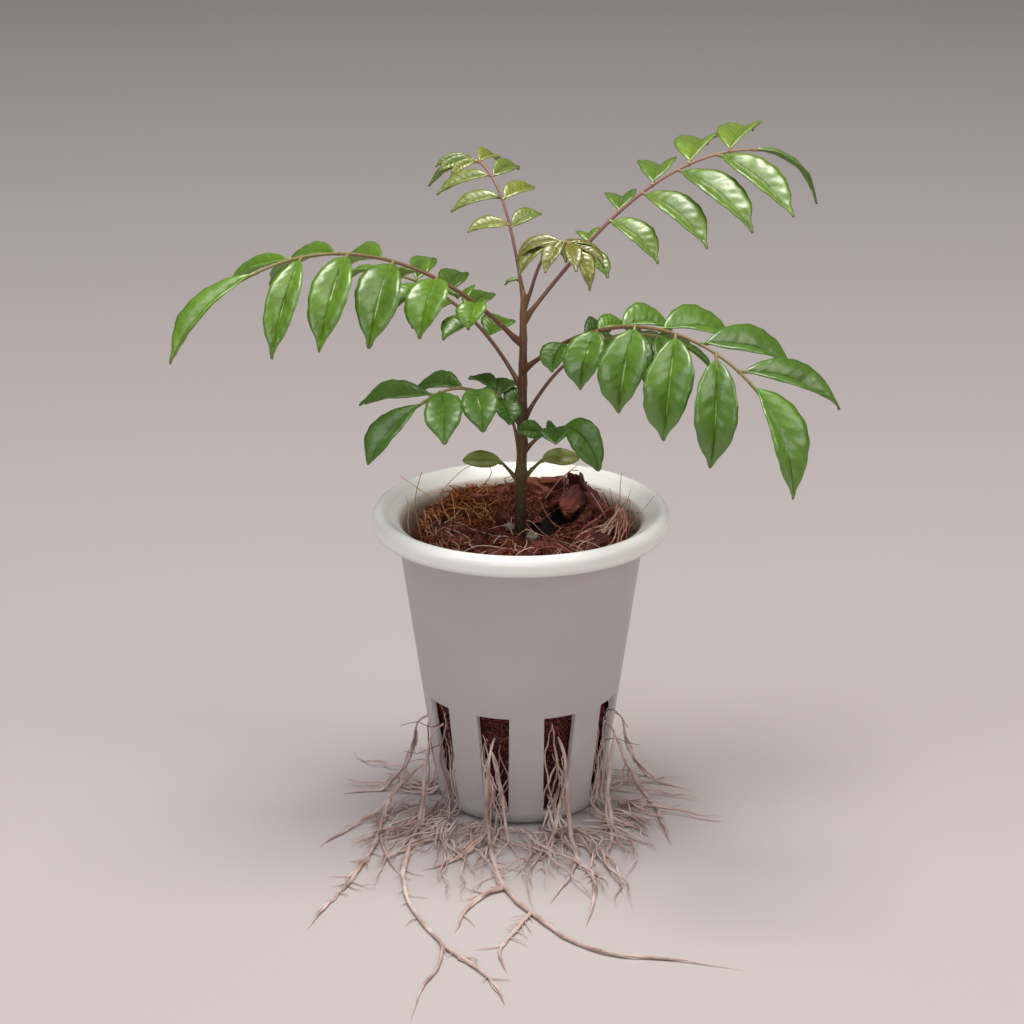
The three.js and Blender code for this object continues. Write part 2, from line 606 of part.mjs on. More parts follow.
// Short side shoots along the part of a root that lies on the surface.
function rootletSolids({ course, radii, length }, random) {
  const count = Math.floor(length / ROOTLET.every);
  const shoots = Array.from({ length: count }, (_, i) => {
    const at = Math.round(((i + ROOTLET.first) / count) * (course.length - 1));
    const next = course[Math.min(at + 1, course.length - 1)];
    const along = next.clone().sub(course[at]).setZ(0).normalize();
    const turn = (i % 2 ? 1 : -1) * lerp(ROOTLET.angle, random()) * DEG;
    const reach = lerp(ROOTLET.length, random());
    const outward = along.applyAxisAngle(new THREE.Vector3(0, 0, 1), turn);
    const tip = course[at].clone().addScaledVector(outward, reach);
    tip.z = ROOTLET.radius + ROOT.lift;
    return { start: course[at], tip, grounded: course[at].z < radii[at] + ROOTLET.lowest };
  });
  return shoots.filter(({ grounded }) => grounded)
    .map(({ start, tip }) => solid(tube([start, tip], [ROOTLET.radius, ROOTLET.radius], ROOTLET.sides)));
}

function makeRoots() {
  const random = randomStream(ROOTLET.seed);
  Object.entries(ROOT_TREES).forEach(([name, routes]) => {
    const courses = routes.map(rootCourse);
    const roots = courses.map(({ course, radii }) => solid(tube(course, radii, ROOT.sides)));
    const rootlets = courses.flatMap((course) => rootletSolids(course, random));
    addMesh(name, fuse([...roots, ...rootlets]), MATERIALS.root);
  });
}

// ---------------------------------------------------------------- assembly

makePot();
makeMedium();
makeStem();
Object.entries(FRONDS).forEach(([name, frond]) => makeFrond(name, frond));
makeRoots();

export default part;
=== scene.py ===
# %% [markdown]
# # A young curry leaf plant in a net pot
#
# This lesson dresses the CAD model of a small curry leaf plant. The real thing is a seedling
# about 140 mm tall. Its feather-shaped leaves arch out of a slotted white pot, the pot is full
# of coir, which is coconut fibre, and bare roots have grown out of the slots. The CAD model
# fixes the places and sizes, and each piece below takes the place of its CAD node.

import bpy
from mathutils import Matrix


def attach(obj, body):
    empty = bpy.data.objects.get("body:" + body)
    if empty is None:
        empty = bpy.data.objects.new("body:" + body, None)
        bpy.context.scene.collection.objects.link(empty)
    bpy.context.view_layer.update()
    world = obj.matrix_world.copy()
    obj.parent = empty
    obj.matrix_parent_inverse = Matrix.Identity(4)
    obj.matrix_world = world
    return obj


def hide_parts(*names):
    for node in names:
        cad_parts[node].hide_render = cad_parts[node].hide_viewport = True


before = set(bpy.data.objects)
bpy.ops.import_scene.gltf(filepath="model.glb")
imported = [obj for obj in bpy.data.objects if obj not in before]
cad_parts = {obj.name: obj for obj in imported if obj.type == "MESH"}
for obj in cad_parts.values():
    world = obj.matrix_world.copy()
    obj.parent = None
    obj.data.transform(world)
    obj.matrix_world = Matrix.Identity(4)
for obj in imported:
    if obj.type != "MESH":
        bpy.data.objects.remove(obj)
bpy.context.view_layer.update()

# %% [markdown]
# ## Small tools
#
# Lengths are written in millimetres, as on the real plant, and `MM` turns them into Blender's
# metres. Colours are sRGB hex values, the way a colour picker shows them, and `linear` turns
# them into the linear values that shaders expect. `add` is the one function that adds a node.
# Its inputs are given in the order of the node's sockets, or by name with a capital, as in
# `From_Min=2`. Its settings are named in lower case, as in `operation="MULTIPLY"`.

# %% Numbers, colours and nodes
import math
from itertools import product

import bmesh
import bpy
import numpy as np
from mathutils import Euler, Matrix, Vector, noise

MM = 0.001
DEG = math.pi / 180
FAMILIES = ("ShaderNode", "GeometryNode", "FunctionNode", "")
tree = None  # the node tree that is being built


def linear(hex_code):
    channels = [int(hex_code[i:i + 2], 16) / 255 for i in (1, 3, 5)]
    return tuple(c / 12.92 if c <= 0.04045 else ((c + 0.055) / 1.055) ** 2.4 for c in channels) + (1.0,)


def lerp(pair, share):
    return pair[0] + (pair[1] - pair[0]) * share


def direction(heading, elevation=0):
    h, e = heading * DEG, elevation * DEG
    return np.array((math.cos(e) * math.cos(h), math.cos(e) * math.sin(h), math.sin(e)))


def connect(socket, source):
    """Link an input to a socket or to a node's first output, or set it to a value or a hex colour."""
    if isinstance(source, bpy.types.Node):
        source = next(output for output in source.outputs if output.enabled)
    if isinstance(source, bpy.types.NodeSocket):
        tree.links.new(source, socket)
    else:
        socket.default_value = linear(source) if str(source).startswith("#") else source


def add(kind, *inputs, stops=(), **named):
    """Add a node to the tree, with the stops of a colour ramp if it is one. A list joins several links."""
    node = tree.nodes.new(next(family + kind for family in FAMILIES if hasattr(bpy.types, family + kind)))
    for name, value in named.items():
        if name[0].islower():
            setattr(node, name, value)
    sockets = [socket for socket in node.inputs if socket.enabled]
    by_name = {socket.name: socket for socket in reversed(sockets)}
    pairs = list(zip(sockets, inputs))
    pairs += [(by_name[name.replace("_", " ")], value) for name, value in named.items() if name[0].isupper()]
    for socket, value in pairs:
        for source in value if isinstance(value, list) else [value]:
            connect(socket, source)
    while stops and len(node.color_ramp.elements) < len(stops):
        node.color_ramp.elements.new(0.5)
    for element, (place, colour) in zip(node.color_ramp.elements if stops else (), stops):
        element.position, element.color = place, linear(colour)
    return node


def start_material(name, **inputs):
    """Start a material's tree. Gives the material, its shader, and each point's place on the object."""
    global tree
    material = bpy.data.materials.new(name)
    material.use_nodes = True
    tree = material.node_tree
    tree.nodes.clear()
    shader = add("BsdfPrincipled", **inputs)
    add("OutputMaterial", shader)
    print("Material:", name)
    return material, shader, add("TexCoord").outputs["Object"]


def finish_material(shader, colour, height, strength, depth):
    """Link the colour, and a relief that is `depth` millimetres from its lowest to its highest."""
    connect(shader.inputs["Base Color"], colour)
    connect(shader.inputs["Normal"], add("Bump", Height=height, Strength=strength, Distance=depth * MM))


def new_piece(name, mesh, smooth=True):
    """Put a mesh in the scene. A bmesh is used up."""
    if isinstance(mesh, bmesh.types.BMesh):
        made, mesh = mesh, bpy.data.meshes.new(name)
        made.to_mesh(mesh)
        made.free()
    piece = bpy.data.objects.new(name, mesh)
    bpy.context.scene.collection.objects.link(piece)
    mesh.polygons.foreach_set("use_smooth", [smooth] * len(mesh.polygons))
    return piece


def triangles(piece):
    return sum(len(face.vertices) - 2 for face in piece.data.polygons)


def hand_in(piece, slot, *nodes):
    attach(piece, "root")
    if nodes:
        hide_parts(*nodes)
    print(f"{piece.name}: {triangles(piece)} triangles")

# %% [markdown]
# ## The camera and the light
#
# The camera looks down at about twenty degrees from well in front, with a long lens, so the
# plant shows little perspective. The light is a room's soft daylight: a broad ceiling of light
# above and a little behind, windows at the left that put the sheen on the leaves, a low one in
# front for the pot's lip, and a pale surrounding. The floor is pale paper, painted darker away
# from the viewer as painted shade where the room's light falls off.

# %% Camera
AIM = Vector((-1.8, 0, 61.67)) * MM  # the point in the middle of the frame
DISTANCE = 800 * MM
ELEVATION = 19.66 * DEG

camera = bpy.data.objects.new("camera", bpy.data.cameras.new("camera"))
bpy.context.scene.collection.objects.link(camera)
camera.location = AIM + DISTANCE * Vector((0, -math.cos(ELEVATION), math.sin(ELEVATION)))
camera.rotation_euler = (math.pi / 2 - ELEVATION, 0, 0)
camera.data.lens = 140.24  # mm, on a 36 mm sensor
camera.data.sensor_width = 36
camera.data.clip_start = 0.01
bpy.context.scene.camera = camera
print("Camera at", [round(v, 3) for v in camera.location])

# %% Floor and light
floor_paper, shader, where = start_material("floor_paper", Roughness=0.62)
# Painted shade: the floor's colour darkens away from the viewer, standing in for the room's light falling
# off.
far = add("MapRange", add("SeparateXYZ", where).outputs["Y"], -0.05, 0.75)
connect(shader.inputs["Base Color"], add("Mix", far, "#bbb3b2", "#918d8e", data_type="RGBA"))
paper = bpy.data.meshes.new("floor")
paper.from_pydata([(-4, -3, 0), (4, -3, 0), (4, 6, 0), (-4, 6, 0)], [], [(0, 1, 2, 3)])
paper.materials.append(floor_paper)
floor = new_piece("floor", paper)

# Each light: place and the point it faces in metres, size, power in watts, colour.
LIGHTS = {
    "ceiling": ((0.02, 0.14, 1.4), (0, 0, 0.05), (0.6, 0.6), 16.4, "#fffaf4"),
    "window_left": ((-0.48, -0.4, 1.1), (0, 0, 0.08), (0.65, 0.65), 4.0, "#f6f9ff"),
    "low_window": ((-0.95, -0.5, 0.55), (0, 0, 0.08), (0.35, 0.35), 1.0, "#f6f9ff"),
    "window_front": ((-0.06, -1.1, 0.42), (0, 0, 0.06), (0.7, 0.16), 2.0, "#fbfbff"),
    "room": ((0.75, -0.4, 0.8), (0, 0, 0.06), (0.7, 0.7), 3.7, "#fffaf4"),
}
for name, (place, target, size, power, colour) in LIGHTS.items():
    light = bpy.data.objects.new(name, bpy.data.lights.new(name, "AREA"))
    light.data.shape = "RECTANGLE"
    light.data.size, light.data.size_y = size
    light.data.energy = power
    light.data.color = linear(colour)[:3]
    light.location = place
    light.rotation_euler = (Vector(target) - Vector(place)).to_track_quat("-Z", "Y").to_euler()
    bpy.context.scene.collection.objects.link(light)

world = bpy.data.worlds.new("room")
world.use_nodes = True
world.node_tree.nodes["Background"].inputs["Color"].default_value = linear("#f3efee")
world.node_tree.nodes["Background"].inputs["Strength"].default_value = 0.135
bpy.context.scene.world = world
bpy.context.scene.view_settings.view_transform = "Standard"
print("Lights:", len(LIGHTS))

# %% [markdown]
# ## Growing pieces from lines
#
# Leaves, stalks, roots and fibres all follow a line: a midrib, a stalk's middle, a root's
# course. So each piece starts as a mesh of bare edges whose points carry a few numbers, such as
# a width. Geometry Nodes turns the edges into curves and sweeps a cross-section along them.
# `lines_mesh` makes such a mesh and `grow` runs a tree over it and keeps the plain result. The
# trees share three steps: noise that makes things wander, a round sweep, and the ending.

# %% Lines and growing
def lines_mesh(name, lines):
    """Each line is a dict with its points in mm, and a number or a list for every other key."""
    points, edges, columns = [], [], {}
    for line in lines:
        count = len(line["points"])
        edges += [(len(points) + i, len(points) + i + 1) for i in range(count - 1)]
        points += [tuple(point) for point in np.asarray(line["points"], float) * MM]
        for key, value in line.items():
            if key != "points":
                columns.setdefault(key, []).append(value if np.ndim(value) else np.full(count, float(value)))
    mesh = bpy.data.meshes.new(name)
    mesh.from_pydata(points, edges, [])
    for key, parts in columns.items():
        values = np.concatenate(parts)
        kind, field = ("FLOAT_VECTOR", "vector") if values.ndim == 2 else ("FLOAT", "value")
        mesh.attributes.new(key, kind, "POINT").data.foreach_set(field, values.ravel())
    return mesh


def new_tree(name, **sockets):
    """Start a Geometry Nodes tree. Gives the tree and what its inputs offer."""
    global tree
    tree = bpy.data.node_groups.new(name, "GeometryNodeTree")
    for label, kind in sockets.items():
        tree.interface.new_socket(label, in_out="INPUT", socket_type="NodeSocket" + kind)
    tree.interface.new_socket("Result", in_out="OUTPUT", socket_type="NodeSocketGeometry")
    print(f"Tree {name}: {len(sockets)} inputs")
    return tree, add("NodeGroupInput").outputs


def wander(amount, **pattern):
    """A push of noise in all directions."""
    colour = add("TexNoise", Detail=2.0, **pattern).outputs["Color"]
    centred = add("VectorMath", colour, (0.5, 0.5, 0.5), operation="SUBTRACT")
    return add("VectorMath", centred, amount, operation="SCALE")


def sweep(curves, sides, width):
    ring = add("CurvePrimitiveCircle", Resolution=sides, Radius=1.0)
    return add("CurveToMesh", curves, ring, Scale=width, Fill_Caps=True)


def end_tree(geometry, *finishes):
    """Make all of it real, and give each selection its material."""
    done = add("RealizeInstances", add("SetShadeSmooth", geometry))
    for material, selection in finishes:
        done = add("SetMaterial", done, Material=material, Selection=selection)
    add("NodeGroupOutput", done)
    print(f"The {tree.name} tree: {len(tree.nodes)} nodes")


def grow(name, mesh, nodes, **inputs):
    piece = new_piece(name, mesh)
    modifier = piece.modifiers.new("grow", "NODES")
    modifier.node_group = nodes
    for socket in nodes.interface.items_tree:
        if socket.name in inputs:
            modifier[socket.identifier] = inputs.pop(socket.name)
    assert not inputs, inputs
    grown = bpy.data.meshes.new_from_object(piece.evaluated_get(bpy.context.evaluated_depsgraph_get()))
    piece.modifiers.remove(modifier)
    if grown.materials and grown.materials[0] is None:
        grown.materials.pop(index=0)  # the empty slot that the bare lines began with
    piece.data = grown
    grown.name = name
    return piece

# %% [markdown]
# ## The net pot
#
# The real pot is injection-moulded from natural polypropylene, a milky and slightly see-through
# plastic with a satin skin. It is turned in shape, with a rolled lip, and nine ribs leave nine
# slots open near its foot. A lathe alone can't make ribs with parallel sides, so the mesh is
# laid out as a grid: its rows are the points of the profile, and its columns follow the rib
# edges, which stand nearer together in degrees where the pot is wider. The faces in the slots
# are left out, and strips join the outer and inner walls round each opening.

# %% Pot sizes
POT = {
    "height": 62.7, "base": 16.5, "wall_top": 24.9, "wall": 1.2, "floor": 1.5, "flare": 6, "foot": 3.5,
    "lip": 30, "lip_underside": 58.5, "ribs": 9, "rib_width": 7.0, "rib_turn": -86.6,
    "slot_bottom": 3.2, "slot_top": 24.8,
}
TAPER = (POT["wall_top"] - POT["base"]) / POT["lip_underside"]
FLAT_RADIUS = POT["base"] + TAPER * POT["foot"] - POT["foot"]


def wall_radius(z):
    return POT["base"] + TAPER * z


def inner_radius(z):
    return wall_radius(z) - POT["wall"]


def climb(radius, start, end, steps):
    """Profile points on a straight wall, from just after one height to another."""
    return [(radius(z), z) for z in np.linspace(start, end, steps + 1)[1:]]


def arc(centre, reach, angles, steps):
    return [(centre[0] + reach[0] * math.cos(a * DEG), centre[1] + reach[1] * math.sin(a * DEG))
            for a in np.linspace(*angles, steps + 1)]


def pot_profile():
    """Rows of (radius, height) from the middle of the base, up outside, over the lip and down inside."""
    low, high, under = POT["slot_bottom"], POT["slot_top"], POT["lip_underside"]
    foot, flare = POT["foot"], POT["flare"]
    # The middle of the base is hollowed by a quarter of a millimetre, so it stands on its edge.
    outside = [(0, 0.25), (FLAT_RADIUS * 0.5, 0.25), (FLAT_RADIUS - 1.2, 0.25), (FLAT_RADIUS - 0.7, 0)]
    outside += arc((FLAT_RADIUS, foot), (foot, foot), (-90, 0), 10)
    outside[-2] = (FLAT_RADIUS + foot * math.sqrt(1 - ((low - foot) / foot) ** 2), low)
    outside += climb(wall_radius, foot, high, 6) + climb(wall_radius, high, under - 0.4, 6)
    # The lip's face bulges a little, its top edge is round, and its top slopes down inwards.
    lip = arc((POT["wall_top"] + 0.34, under - 0.4), (0.4, 0.4), (180, 90), 4)[1:]
    lip += [(POT["lip"] - inset, under + up) for inset, up in
            ((0.9, 0), (0.6, 0.07), (0.46, 0.3), (0.25, 0.9), (0.1, 1.5))]
    lip += arc((POT["lip"] - 1.7, POT["height"] - 2.1), (1.7, 2.05), (6, 118), 14)
    drop = 58.4
    slope, turn, end = np.array((25.0, 60.81)), np.array((23.85, 60.07)), np.array((inner_radius(drop), drop))
    lip += [tuple(lerp((lerp((slope, turn), t), lerp((turn, end), t)), t)) for t in np.linspace(0, 1, 8)]
    inside = climb(inner_radius, drop, high, 7) + climb(inner_radius, high, flare, 5)
    share = (flare - low) / (flare - POT["floor"])
    inside += [(lerp((inner_radius(flare), FLAT_RADIUS), share), low)]
    inside += [(FLAT_RADIUS, POT["floor"]), (0, POT["floor"])]
    return outside + lip + inside


print("Pot profile:", len(pot_profile()), "points")

# %% Pot mesh
RIB_STEPS, SLOT_STEPS = 6, 10
TOLERANCE = 0.01


def column_angles(radius):
    """Degrees of every column at a radius: across each rib, and on over the slot beside it."""
    pitch = 360 / POT["ribs"]
    half_rib = math.degrees(math.asin(POT["rib_width"] / 2 / max(radius, FLAT_RADIUS - 1)))
    angles = []
    for rib in range(POT["ribs"]):
        middle = POT["rib_turn"] + rib * pitch
        angles += [middle + lerp((-half_rib, half_rib), i / RIB_STEPS) for i in range(RIB_STEPS)]
        angles += [middle + lerp((half_rib, pitch - half_rib), i / SLOT_STEPS) for i in range(SLOT_STEPS)]
    return angles


def in_slot(column, first, second):
    """Whether the cell between two profile points is part of an opening."""
    on_wall = min(first[0], second[0]) > FLAT_RADIUS + 0.5
    above = min(first[1], second[1]) >= POT["slot_bottom"] - TOLERANCE
    below = max(first[1], second[1]) <= POT["slot_top"] + TOLERANCE
    return column % (RIB_STEPS + SLOT_STEPS) >= RIB_STEPS and on_wall and above and below


def make_pot():
    profile, mesh = pot_profile(), bmesh.new()
    rows = []
    for radius, z in profile:
        angles = column_angles(radius) if radius else [0]
        rows.append([mesh.verts.new(direction(a) * radius * MM + (0, 0, z * MM)) for a in angles])
    columns = POT["ribs"] * (RIB_STEPS + SLOT_STEPS)
    for low, high, first, second in zip(rows, rows[1:], profile, profile[1:]):
        for c in range(columns):
            d = (c + 1) % columns
            if len(low) == 1:
                mesh.faces.new((low[0], high[d], high[c]))
            elif len(high) == 1:
                mesh.faces.new((low[c], low[d], high[0]))
            elif not in_slot(c, first, second):
                mesh.faces.new((low[c], low[d], high[d], high[c]))
    # Each opening is framed by joining its edges in the outer wall to those in the inner one.
    openings = {}
    for edge in mesh.edges:
        if edge.is_boundary:
            middle = edge.verts[0].co + edge.verts[1].co
            turn = math.atan2(middle.y, middle.x) / DEG - POT["rib_turn"]
            openings.setdefault(int(turn % 360 * POT["ribs"] / 360), []).append(edge)
    for edges in openings.values():
        bmesh.ops.bridge_loops(mesh, edges=edges)
    bmesh.ops.recalc_face_normals(mesh, faces=mesh.faces)
    print("Pot:", len(openings), "slots")
    return new_piece("pot_shell", mesh)


pot_shell = make_pot()
bevel = pot_shell.modifiers.new("soft_edges", "BEVEL")
bevel.width = 0.28 * MM
bevel.segments = 3
bevel.limit_method = "ANGLE"
bevel.angle_limit = 50 * DEG
bevel.harden_normals = True

# %% [markdown]
# ### Natural polypropylene
#
# Unpigmented polypropylene is milky: light enters it and scatters a few millimetres, so shadows
# on it are soft, and its index of refraction is about 1.49. Where it is thick, at the lip, it
# takes a faint green tint. The lip is glossy and painted nearly white, partly the thick milky
# plastic and partly painted light for its brightly lit top and highlight. The inner wall is dull,
# with painted shade that grows darker and warmer deeper down, for the shade inside the pot and the
# coir's warm bounced light, and it is specked with coir. The mould's fine grain is a faint bump
# of under half a millimetre.

# %% Pot material
natural_polypropylene, shader, where = start_material(
    "natural_polypropylene", Roughness=0.16, IOR=1.49, Subsurface_Weight=0.25, Subsurface_Scale=2.5 * MM,
    Subsurface_Radius=(1.0, 0.9, 0.75),
)
height = add("SeparateXYZ", where).outputs["Z"]
cloud = add("TexNoise", Vector=where, Scale=60.0, Detail=3.0)
milk = add("Mix", cloud, "#bab4b3", "#c3bdbc", data_type="RGBA")
# The lip is painted nearly white: partly the thick milky plastic, partly painted light for its brightly lit
# top and highlight.
milk = add("Mix", add("MapRange", height, 57.5 * MM, 59.5 * MM), milk, "#f7f7f2", data_type="RGBA")
# How far inside the wall's outer face a point lies.
out = add("VectorMath", add("VectorMath", where, (1, 1, 0), operation="MULTIPLY"), operation="LENGTH")
wall = add("Math", height, TAPER, POT["base"] * MM, operation="MULTIPLY_ADD")
depth = add("Math", wall, out, operation="SUBTRACT")
connect(shader.inputs["Roughness"], add("MapRange", depth, -2.2 * MM, 0.3 * MM, 0.15, 0.42))
upper = add("Math", height, 40 * MM, operation="GREATER_THAN")
inner = add("Math", add("MapRange", depth, 0.3 * MM, 0.8 * MM), upper, operation="MULTIPLY")
# Painted shade: the inner wall is tinted darker and warmer, more so deeper inside, for the shade in the pot
# and the coir's bounced light.
painted_inner_shade = add("Math", inner, add("MapRange", height, 61.5 * MM, 57 * MM, 0.4, 0.85), operation="MULTIPLY")
milk = add("Mix", painted_inner_shade, milk, "#b9a08c", data_type="RGBA")
crumbs = add("TexNoise", Vector=where, Scale=700.0, Detail=1.0)
speck = add("Math", add("MapRange", crumbs, 0.7, 0.74), inner, operation="MULTIPLY")
milk = add("Mix", speck, milk, "#4a3426", data_type="RGBA")
finish_material(shader, milk, add("TexNoise", Vector=where, Scale=2200.0, Detail=2.0), 0.06, 0.05)
pot_shell.data.materials.append(natural_polypropylene)
hand_in(pot_shell, "pot", "net_pot")

# %% [markdown]
# ## The coir bed
#
# Coir is coconut husk, torn into short fibres and chips. Packed in the pot it makes one lumpy
# mass, with mounds at the back and a hollow beside the stem that is painted dark as shade. The
# bed is a grid in rings, like a drum skin with sides, whose heights come from a few mounds and
# from noise at the size of the fibre clumps. Its sides stay inside the pot's wall and show through
# the slots. Its points carry two numbers: `hollow`, where shade is painted dark, and `seen`, where
# fibres are worth growing.

# %% Bed shape
BED = {"centre": 57.4, "edge": 57.2, "bottom": 2.0, "bottom_radius": 12.5, "clearance": 0.4}
BED_SIDES, BED_RINGS = 144, 44
# Each mound or hollow: x, y, height or depth, and how far it spreads.
MOUNDS = [
    (-13, 12, 3.9, 9), (-14, -6, 1.6, 6), (-1, 21, 2.6, 8), (10, 17, 3.6, 8), (17, 3, 2.6, 6), (3, -16, 1, 6),
]
HOLLOWS = [(2.6, -2.6, 3.4, 3.6), (8.2, 8.2, 5.2, 4.6), (3.6, 3.4, 4.0, 3.6)]


def hills(x, y, places):
    return sum(h * math.exp(-(math.hypot(x - mx, y - my) / spread) ** 2) for mx, my, h, spread in places)


def bed_height(x, y):
    z = lerp((BED["centre"], BED["edge"]), min(math.hypot(x, y) / inner_radius(BED["edge"]), 1))
    return z + hills(x, y, MOUNDS) - hills(x, y, HOLLOWS)


def clumps(x, y, z, size):
    return noise.fractal(Vector((x, y, z)) / size, 0.6, 2.1, 4)


def bed_gap(turn, z):
    """The bed has shrunk away from the wall at its left and a little at its right."""
    left = max(math.cos(turn - 160 * DEG), 0) ** 1.5
    right = max(math.cos(turn - 5 * DEG), 0) ** 4
    return BED["clearance"] + (2.6 * left + 1.5 * right) * min(max((z - 44) / 10, 0), 1)


def make_bed():
    """Rings of points from the middle of the top, out, down the sides and under."""
    count = BED_SIDES
    turns = [(2 * math.pi * j / count, *direction(360 * j / count)[:2]) for j in range(count)]
    rows = [(0, 0, bed_height(0, 0), 1.0, 0.0)]  # x, y, z, hollow, seen
    for share in (i / BED_RINGS for i in range(1, BED_RINGS + 1)):
        for turn, cos, sin in turns:
            radius = share * (inner_radius(BED["edge"]) - bed_gap(turn, BED["edge"]))
            x, y = radius * cos, radius * sin
            z = bed_height(x, y) + 1.5 * clumps(x, y, 0, 3.5) - 1.6 * max((share - 0.88) / 0.12, 0) ** 2
            hollow = min(hills(x, y, HOLLOWS) / 2.2, 1)
            rows.append((x, y, z, hollow, (1 - hollow) * (share < 0.94)))
    for z in np.concatenate([np.linspace(54, 26.5, 12), np.linspace(25.5, 3.4, 28)]):
        flare = min(max((POT["flare"] - z) / (POT["flare"] - POT["floor"]), 0), 1)
        wall = lerp((inner_radius(max(z, POT["flare"])), FLAT_RADIUS), flare)
        for turn, cos, sin in turns:
            radius = wall - bed_gap(turn, z) - 1.2 * abs(clumps(wall * cos, wall * sin, z, 3.0))
            rows.append((radius * cos, radius * sin, z, 0, 0.3 * (8 < z < 26)))
    radius = BED["bottom_radius"]
    rows += [(radius * cos, radius * sin, BED["bottom"], 0, 0) for _, cos, sin in turns]
    rows.append((0, 0, BED["bottom"], 0, 0))
    last = len(rows) - 1
    faces = [(0, 1 + j, 1 + (j + 1) % count) for j in range(count)]
    for a in range(1, last - count, count):
        b = a + count
        faces += [(a + j, b + j, b + (j + 1) % count, a + (j + 1) % count) for j in range(count)]
    faces += [(last - count + j, last, last - count + (j + 1) % count) for j in range(count)]
    mesh = bpy.data.meshes.new("coir_bed")
    mesh.from_pydata([tuple(v * MM for v in row[:3]) for row in rows], [], faces)
    for column, name in ((3, "hollow"), (4, "seen")):
        values = [float(row[column]) for row in rows]
        mesh.attributes.new(name, "FLOAT", "POINT").data.foreach_set("value", values)
    return new_piece("coir_bed", mesh)


coir_bed = make_bed()

# %% [markdown]
# ### Damp coir
#
# Wet coir is red-brown on its fibres, and between them it is painted nearly black: dark wet coir
# and painted shade in the gaps. A wave that noise has bent gives the torn, stringy look at about
# half a millimetre a strand, and the rougher noise under it makes clumps. Behind the slots it is
# always wet and a deep wine red. The hollows by the stem are painted near black, as painted shade.

# %% Coir material
damp_coir, shader, where = start_material("damp_coir", Roughness=0.85, Specular_IOR_Level=0.3)
lumps = add("TexNoise", Vector=where, Scale=260.0, Detail=5.0, Roughness=0.7)
strings = add("TexWave", Vector=where, Scale=330.0, Distortion=26.0, Detail=4.0, Detail_Scale=1.4)
weave = add("Math", lumps, strings.outputs["Fac"], operation="MULTIPLY")
# The low ends of both ramps paint the gaps between the fibres near black: dark wet coir and painted shade in
# the recesses.
top, side = (add("ValToRGB", weave, stops=stops) for stops in (
    ((0.08, "#1c0a08"), (0.24, "#5a2216"), (0.4, "#934427"), (0.58, "#bb6f42")),
    ((0.08, "#1d0608"), (0.24, "#4d171c"), (0.42, "#752c2c"), (0.65, "#9a5346")),
))
low = add("MapRange", add("SeparateXYZ", where).outputs["Z"], 40 * MM, 30 * MM)
coir = add("Mix", low, top, side, data_type="RGBA")
# Painted shade: the hollows by the stem are painted near black, where they lie in shadow.
painted_hollow_shade = add("MapRange", add("Attribute", attribute_name="hollow").outputs["Fac"], 0.32, 0.75)
coir = add("Mix", painted_hollow_shade, coir, "#0e0706", data_type="RGBA")
finish_material(shader, coir, weave, 0.9, 0.5)
coir_bed.data.materials.append(damp_coir)
hand_in(coir_bed, "coir", "coir_medium")

# %% [markdown]
# ## The husk chips
#
# Chips are hewn pieces of the husk, a few millimetres thick, with split ends and a grain along
# their length. Each starts as a box of many small cells in the CAD chip's place. Noise that is
# stretched along the grain tears its faces, and its ends are thinned. Every point also keeps its
# own place in the chip, squeezed along the grain, so that the colour streaks the same way. The
# big chips and the shards beside the biggest one are listed, and small flakes are strewn by rule.

# %% Chips
# Each one: x, y, lift over the bed, turn, tilt, roll, length, width, thickness, in mm and degrees.
CHIPS = [
    (11.2, 12.8, 1.2, 34, -22, 34, 7.5, 4.2, 1.8), (3.5, 16.5, 0.4, -35, 12, -10, 7, 4, 2),
    (16.5, 5, 0.7, 75, 20, 12, 7, 4, 2.2), (14, -8.5, 0.5, 40, -14, 6, 8, 5, 2.4),
    (5.5, -14, 0.3, -12, 8, 12, 7.5, 4, 2), (-6, -15.5, 0.2, 24, -10, -8, 7, 3.6, 1.8),
    (-16, -2, 0.4, 85, 8, 10, 6.5, 3.6, 1.8), (-4.5, 5, 0.3, -50, -9, 6, 6, 3.2, 1.8),
]
SHARDS = [
    (13.2, 14.2, 2.5, 15, 70, 10, 5.4, 2.6, 0.8), (11.0, 15.6, 2.2, 70, 52, 0, 4.6, 2.2, 0.8),
    (6.2, 16.8, 1.6, 5, -8, 25, 4.8, 1.7, 0.9), (15.2, 10.8, 1.6, -40, 38, 30, 4.8, 2.2, 0.8),
    (9.4, 10.4, 1.9, 60, 24, 50, 3.8, 1.6, 0.7), (6.6, 12.4, 1.0, -70, -30, 20, 4.6, 1.5, 0.7),
]
TOP_FLAKES, SLOT_FLAKES = 64, 54


